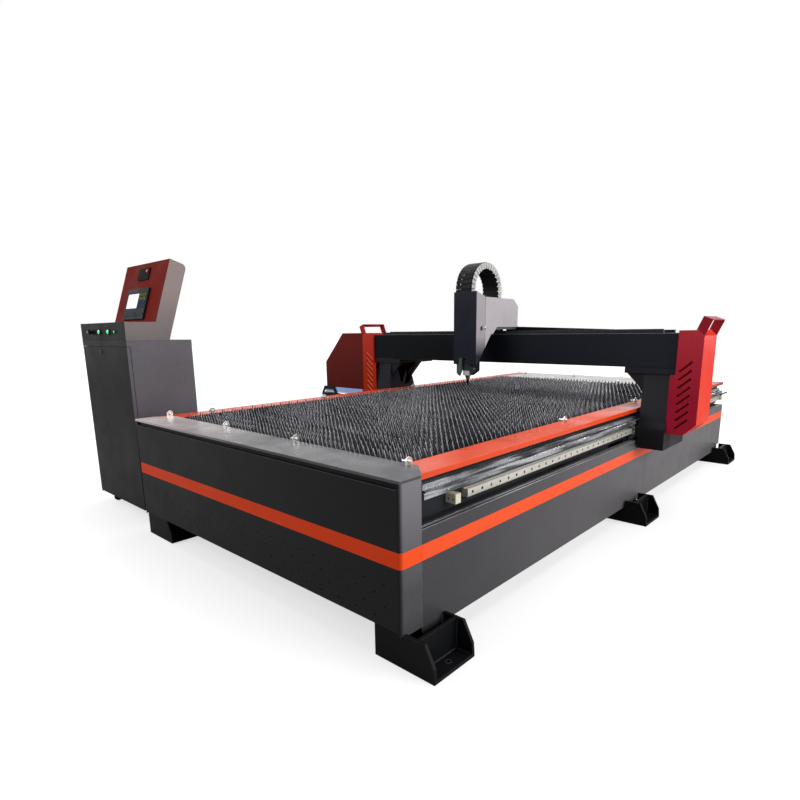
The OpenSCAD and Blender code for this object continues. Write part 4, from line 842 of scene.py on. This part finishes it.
def slats():
    """Toothed slats, worn by use: they differ in height, lean and lie."""
    low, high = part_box("slats")
    rng = random.Random(7)
    pitch, tooth, thick = 65 * MM, 27 * MM, 3 * MM
    span = high.x - low.x
    count = round((high.y - low.y - thick) / pitch) + 1
    teeth = round(span / tooth)
    root = high.z - 38 * MM

    def one(bm, y, bow):
        profile = [(low.x, root + rng.uniform(-1, 1) * MM, 0.0)]
        for i in range(teeth):
            lean = rng.gauss(0, 1.6) * MM
            profile.append((low.x + (i + 0.5) * tooth + rng.gauss(0, 1.0) * MM,
                            high.z - abs(rng.gauss(0, 1.6)) * MM, lean))
            profile.append((low.x + (i + 1) * tooth, root + rng.uniform(-1.5, 1.5) * MM,
                            lean * 0.2))
        profile[-1] = (high.x, profile[-1][1], 0.0)
        loops = []
        for face in SIDES:
            base, top = [], []
            for x, z, lean in profile:
                wave = bow * math.sin(math.pi * (x - low.x) / span) * MM
                base.append(bm.verts.new((x, y + wave * 0.3 + face * thick / 2, low.z)))
                top.append(bm.verts.new((x, y + wave + lean + face * thick / 2, z)))
            for i in range(len(profile) - 1):
                bm.faces.new((base[i], base[i + 1], top[i + 1], top[i]))
            loops.append(base + top[::-1])
        skin(bm, *loops)

    def build(bm):
        for i in range(count):
            one(bm, low.y + thick / 2 + i * pitch, rng.uniform(-4, 4))
    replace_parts(piece("cut_slats", "table", "slat_steel", build), "slats")


def holed_plate(bm, loops, side, y0, y1):
    """Sheet lying across Y: the first loop is its outline, the others are slots through it."""
    faces = []
    for y in (y0, y1):
        edges, rings = [], []
        for loop in loops:
            ring = [bm.verts.new(p) for p in upright(loop, y, side)]
            rings.append(ring)
            edges += [bm.edges.new(pair) for pair in zip(ring, ring[1:] + ring[:1])]
        bmesh.ops.triangle_fill(bm, use_beauty=True, use_dissolve=False, edges=edges)
        faces.append(rings)
    for near, far in zip(*faces):
        skin(bm, near, far)


def cover_slots():
    """Corners (x, z) of the eight tilted slots in the right drive cover, from the bottom up."""
    low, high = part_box("drive_covers")
    tilt, half, rise = math.radians(41), 40 * MM, 6.5 * MM
    corners = ((-half, -rise), (half, -rise), (half, rise), (-half, rise))
    middles = [(high.x - 76 * MM, low.z + 60 * MM + i * 43 * MM) for i in range(8)]
    return [[(x + a * math.cos(tilt) - b * math.sin(tilt),
              z + a * math.sin(tilt) + b * math.cos(tilt)) for a, b in corners]
            for x, z in middles]


def louvre_lips(bm, y, side, fold, thick):
    """A folded lip along the upper edge of every slot."""
    for slot in cover_slots():
        a, b = upright((slot[3], slot[2]), y, side)
        prism(bm, [a, b, b + Vector(fold), a + Vector(fold)], Z * thick)


def drive_covers():
    """Folded covers over the drives: slotted front, back, rim, and lips behind the slots."""
    low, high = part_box("drive_covers")
    front = low.y + 6 * MM
    leg_side, shelf, shelf_z = high.x - 0.1477, high.x - 0.1217, 0.8150
    chamfer, bevel, sheet = 60 * MM, 28 * MM, 2 * MM
    outer = [(leg_side, low.z), (high.x - chamfer, low.z), (high.x, low.z + chamfer),
             (high.x, high.z - bevel), (high.x - bevel, high.z), (shelf, high.z),
             (shelf, shelf_z), (leg_side, shelf_z)]
    middle_x, middle_z = high.x - 74 * MM, 0.80
    inner = [(x + (sheet if x < middle_x else -sheet), z + (sheet if z < middle_z else -sheet))
             for x, z in outer]

    def both(bm):
        for side in (1, -1):
            holed_plate(bm, [outer] + cover_slots(), side, front, front + sheet)
            prism(bm, upright(outer, high.y - sheet, side), Y * sheet)
            for i in range(len(outer) - 1):
                rim = [outer[i], outer[i + 1], inner[i + 1], inner[i]]
                prism(bm, upright(rim, front + sheet, side), Y * (high.y - front - 2 * sheet))
            louvre_lips(bm, front + sheet, side, (0, 9 * MM, -9 * MM), 1.2 * MM)
    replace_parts(piece("slotted_covers", "gantry", "cover_red", both), "drive_covers")


def left_louvre_lips():
    """Bright lips on the front of the left cover's louvres: a painted highlight."""
    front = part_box("drive_covers")[0].y + 6 * MM
    piece("left_louvre_lips", "gantry", "cover_red",
          lambda bm: louvre_lips(bm, front, -1, (0, -4 * MM, -3 * MM), 1.6 * MM), "coral_lip_highlight")


def lead_bracket():
    """Open blue-filmed sleeve under the cable box, with the black hoop, its bar and an arm."""
    low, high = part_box("lead_bracket")
    left, wall = -1.722, 2 * MM
    y0, y1 = low.y + 4 * MM, high.y
    floor_z = high.z - 47 * MM

    def sleeve(bm):
        slab(bm, (left, y0, floor_z), (high.x, y0 + wall, high.z))
        slab(bm, (left, y1 - wall, floor_z), (high.x, y1, high.z))
        slab(bm, (left, y0 + wall, floor_z), (high.x, y1 - wall, floor_z + wall))
        slab(bm, (left, y0 + wall, high.z - wall), (high.x, y1 - wall, high.z))
    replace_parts(piece("lead_sleeve", "gantry", "blue_film", sleeve), "lead_bracket")

    front = -5 * MM
    outer = [(-1.760, 0.544), (-1.728, 0.6005), (-1.600, 0.6005), (-1.559, 0.531)]
    inner = [(-1.745, 0.543), (-1.714, 0.5740), (-1.613, 0.5740), (-1.593, 0.533)]
    bar = [(-1.763, 0.503), (-1.559, 0.497), (-1.559, 0.531), (-1.763, 0.544)]

    def hoop(bm):
        for i in range(3):
            ring = [outer[i], outer[i + 1], inner[i + 1], inner[i]]
            prism(bm, upright(ring, front), Y * 10 * MM)
        prism(bm, upright(bar, front), Y * 70 * MM)
        for x in (-1.74, -1.58):
            hex_bolt(bm, Vector((x, front, 0.520)), -Y, 6 * MM, 3 * MM)
        slab(bm, (-1.496, 0.100, low.z), (-1.416, 0.160, floor_z - 0.3 * MM))
    piece("lead_hoop", "gantry", "blue_film", hoop, "hoop_black")


def bed_plates():
    """Front plate with mitred rear corners, plain rear plate, and ledges that meet the mitres."""
    low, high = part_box("top_plates")
    ledge_low, ledge_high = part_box("ledges")
    cap_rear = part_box("end_cap")[1].y
    gap, sheet, web_foot = 0.3 * MM, 3 * MM, 0.6151
    outside, top = ledge_high.x, ledge_high.z
    inside = outside - 0.127
    front_end, rear_start = low.y + 0.185, high.y - 0.580
    mitre = front_end - cap_rear

    def plates(bm):
        outline = [(low.x, low.y), (high.x, low.y), (high.x, cap_rear),
                   (high.x - mitre, front_end), (low.x + mitre, front_end), (low.x, cap_rear)]
        prism(bm, [Vector((x, y, low.z)) for x, y in outline], Z * (high.z - low.z))
        slab(bm, (gap - inside, rear_start, low.z), (inside - gap, high.y, high.z))
    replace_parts(piece("bed_plates", "table", "plate_grey", plates), "top_plates")

    start, corner_start = front_end + gap, cap_rear + 12 * MM
    profile = [(inside, top - sheet), (outside - sheet, top - sheet),
               (outside - sheet, ledge_low.z), (outside - 1 * MM, ledge_low.z),
               (outside, ledge_low.z + 1 * MM), (outside, top - 2 * MM),
               (outside - 0.6 * MM, top - 0.6 * MM), (outside - 2 * MM, top), (inside, top)]
    corner = [(outside, corner_start), (outside, start), (high.x - mitre + gap, start)]

    def ledges(bm):
        for side in SIDES:
            prism(bm, upright(profile, start, side), Y * (high.y - start))
            prism(bm, [Vector((side * x, y, top - sheet)) for x, y in corner], Z * sheet)
            side_slab(bm, side, outside - sheet, outside, corner_start, start, ledge_low.z,
                      top - sheet)
            side_slab(bm, side, inside + 30 * MM, inside + 33 * MM, start, high.y, web_foot,
                      top - sheet)
    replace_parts(piece("folded_ledges", "table", "ledge_orange", ledges), "ledges")


def head_knob():
    """Collar and bright end of the knob on the head's side, and the seam behind it."""
    at = Vector((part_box("head_cover")[1].x - 13 * MM, -0.165, 1.073))
    turned("head_knob_collar", "carriage", "head_dark", [at], X,
           [(8.2 * MM, 0), (11 * MM, 0.5 * MM), (11 * MM, 9 * MM), (9.5 * MM, 10 * MM)], 24,
           "screw_black")
    turned("head_knob_end", "carriage", "head_dark", [at + X * 9.5 * MM], X,
           [(8.6 * MM, 0), (9.4 * MM, 1 * MM), (9.4 * MM, 20 * MM), (8 * MM, 22 * MM),
            (0, 22.3 * MM)], 24, "bright_steel")
    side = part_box("head_frame")[1]
    piece("head_seam", "carriage", "head_grey",
          lambda bm: slab(bm, (side.x - 0.1 * MM, -0.1262, 0.955),
                          (side.x + 0.3 * MM, -0.1240, side.z - 1 * MM)), "hole_dark")


def anchor_holes():
    """Drilled anchor holes in the outer bays of the feet, drawn as dark discs of painted shade,
    with the bright rim drilling leaves.
    """
    low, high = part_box("feet")
    radius, level = 9 * MM, 12.05 * MM
    places = [Vector((edge - 36 * MM, y, level)) for edge in (high.x, low.x + FOOT_WIDTH)
              for y in (-1.810, -0.010, 1.810)]
    turned("anchor_rims", "table", "foot_black", places, Z,
           [(radius, 0), (radius, 0.3 * MM), (10.2 * MM, 0.3 * MM), (10.4 * MM, 0)], 24,
           "side_grey")
    turned("anchor_bores", "table", "foot_black", places, Z,
           [(radius, 0.15 * MM), (0, 0.2 * MM)], 24, "hole_dark")


def torch_details():
    """Clamp screws, the collar's grip ring and the lead's gland on the torch."""
    low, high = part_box("torch")
    axis = Vector(((low.x + high.x) / 2, (low.y + high.y) / 2, low.z))
    hold_low, hold_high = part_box("torch_holder")
    places = [(Vector((hold_high.x - 12 * MM, hold_low.y + 18.5 * MM, axis.z + rise)), -Y)
              for rise in (0.108, 0.152)]
    screws("clamp_screws", BODY_OF["torch"], SLOT_OF["torch_holder"], cap_screw, places,
           4.6 * MM, 4.5 * MM, "bright_steel")
    ridge = ((29.6 * MM, -2.4), (30.6 * MM, -2.4), (30.6 * MM, 2.4), (29.6 * MM, 2.4))

    def grip(bm):
        for k in range(24):
            outline = [axis + Z * 70.5 * MM + Matrix.Rotation(math.radians(15 * k + d), 3, "Z")
                       @ (X * r) for r, d in ridge]
            prism(bm, outline, Z * 19 * MM)
    piece("collar_grip", BODY_OF["torch"], "torch_metal", grip, "bright_steel")
    turned("torch_gland", BODY_OF["torch"], "torch_metal", [axis + Z * 0.366], Z,
           [(12.2 * MM, 0), (15 * MM, 0), (15 * MM, 14 * MM), (12.5 * MM, 18 * MM),
            (12.2 * MM, 18 * MM)], 6, "screw_black")


# ---------------------------- scene

def camera():
    """The photograph's viewpoint: low, in front of the right front corner, with a wide lens."""
    data = bpy.data.cameras.new("camera")
    data.lens, data.sensor_width = 24.59, 36
    data.shift_x, data.shift_y = -0.0034, 0.0563
    data.clip_start, data.clip_end = 0.05, 100
    yaw, pitch, roll = 0.7436, 0.2069, -0.0129
    turn = (Matrix.Rotation(yaw, 4, "Z") @ Matrix.Rotation(math.pi / 2 - pitch, 4, "X")
            @ Matrix.Rotation(roll, 4, "Z"))
    cam = in_scene("camera", data)
    cam.matrix_world = Matrix.Translation((2.018, -3.075, 1.065)) @ turn
    bpy.context.scene.camera = cam


def lamp(name, place, target, size, power):
    """Square or oblong area light that looks at a target."""
    data = bpy.data.lights.new(name, "AREA")
    data.shape = "RECTANGLE"
    data.size, data.size_y = size
    data.energy = power
    obj = in_scene(name, data)
    obj.location = place
    obj.rotation_euler = (Vector(target) - Vector(place)).to_track_quat("-Z", "Y").to_euler()


def world():
    """Soft grey light for surfaces; white where the camera, gloss or glass looks."""
    studio = bpy.data.worlds.new("studio")
    bpy.context.scene.world = studio
    studio.use_nodes = True
    tree = studio.node_tree
    grey = wire(tree.nodes["Background"], {"Color": (0.95, 0.97, 1.0, 1.0), "Strength": 0.30})
    white = new_node(tree, "Background", {"Color": (1, 1, 1, 1), "Strength": 1.0})
    rays = new_node(tree, "LightPath").outputs
    direct = rays["Is Camera Ray"]
    for ray in ("Is Glossy Ray", "Is Transmission Ray"):
        direct = new_node(tree, "Math", {0: direct, 1: rays[ray]}, operation="MAXIMUM").outputs[0]
    mix = new_node(tree, "MixShader", {0: direct, 1: grey.outputs[0], 2: white.outputs[0]})
    wire(tree.nodes["World Output"], {"Surface": mix.outputs[0]})


def floor():
    """Plain pale floor: white to the camera, darker where the object shades it."""
    mesh = bpy.data.meshes.new("floor")
    bm = bmesh.new()
    bmesh.ops.create_grid(bm, x_segments=2, y_segments=2, size=45)
    bm.to_mesh(mesh)
    bm.free()
    obj = in_scene("floor", mesh)
    obj.location.z = -0.5 * MM
    mat = bpy.data.materials.new("floor_pale")
    mat.use_nodes = True
    tree = mat.node_tree
    pale = wire(tree.nodes["Principled BSDF"], {
        "Base Color": (0.45, 0.45, 0.45, 1), "Roughness": 0.6, "Specular IOR Level": 0.1})
    place = new_node(tree, "NewGeometry").outputs["Position"]
    far = new_node(tree, "VectorMath", {0: place}, operation="LENGTH").outputs["Value"]
    rise = new_node(tree, "MapRange", {"Value": far, "From Min": 2.2, "From Max": 6.5,
                                       "To Min": 0.63, "To Max": 1.0}).outputs["Result"]
    seen = new_node(tree, "LightPath").outputs["Is Camera Ray"]
    strength = new_node(tree, "Math", {0: seen, 1: rise}, operation="MULTIPLY").outputs[0]
    glow = new_node(tree, "Emission", {"Strength": strength})
    both = new_node(tree, "AddShader", {0: pale.outputs[0], 1: glow.outputs[0]})
    wire(tree.nodes["Material Output"], {"Surface": both.outputs[0]})
    mesh.materials.append(mat)


camera()
world()
floor()
lamp("key", (-3.5, -6.5, 4.5), (0, -0.5, 0.6), (4, 4), 230)
lamp("side", (7.0, 0.5, 3.0), (0.5, 0, 0.5), (5, 3), 430)
lamp("top", (0, 0.5, 5.5), (0, 0, 0.5), (6, 6), 190)
bpy.context.scene.view_settings.view_transform = "Standard"

finish_nodes()
drag_chains()
arch_chain()
console_face()
console_switches()
caster_details()
foot_welds()
rail_screws()
panel_edge_highlights()
vent_shade_sheet()
stop_holes()
slats()
drive_covers()
left_louvre_lips()
lead_bracket()
bed_plates()
head_knob()
anchor_holes()
torch_details()
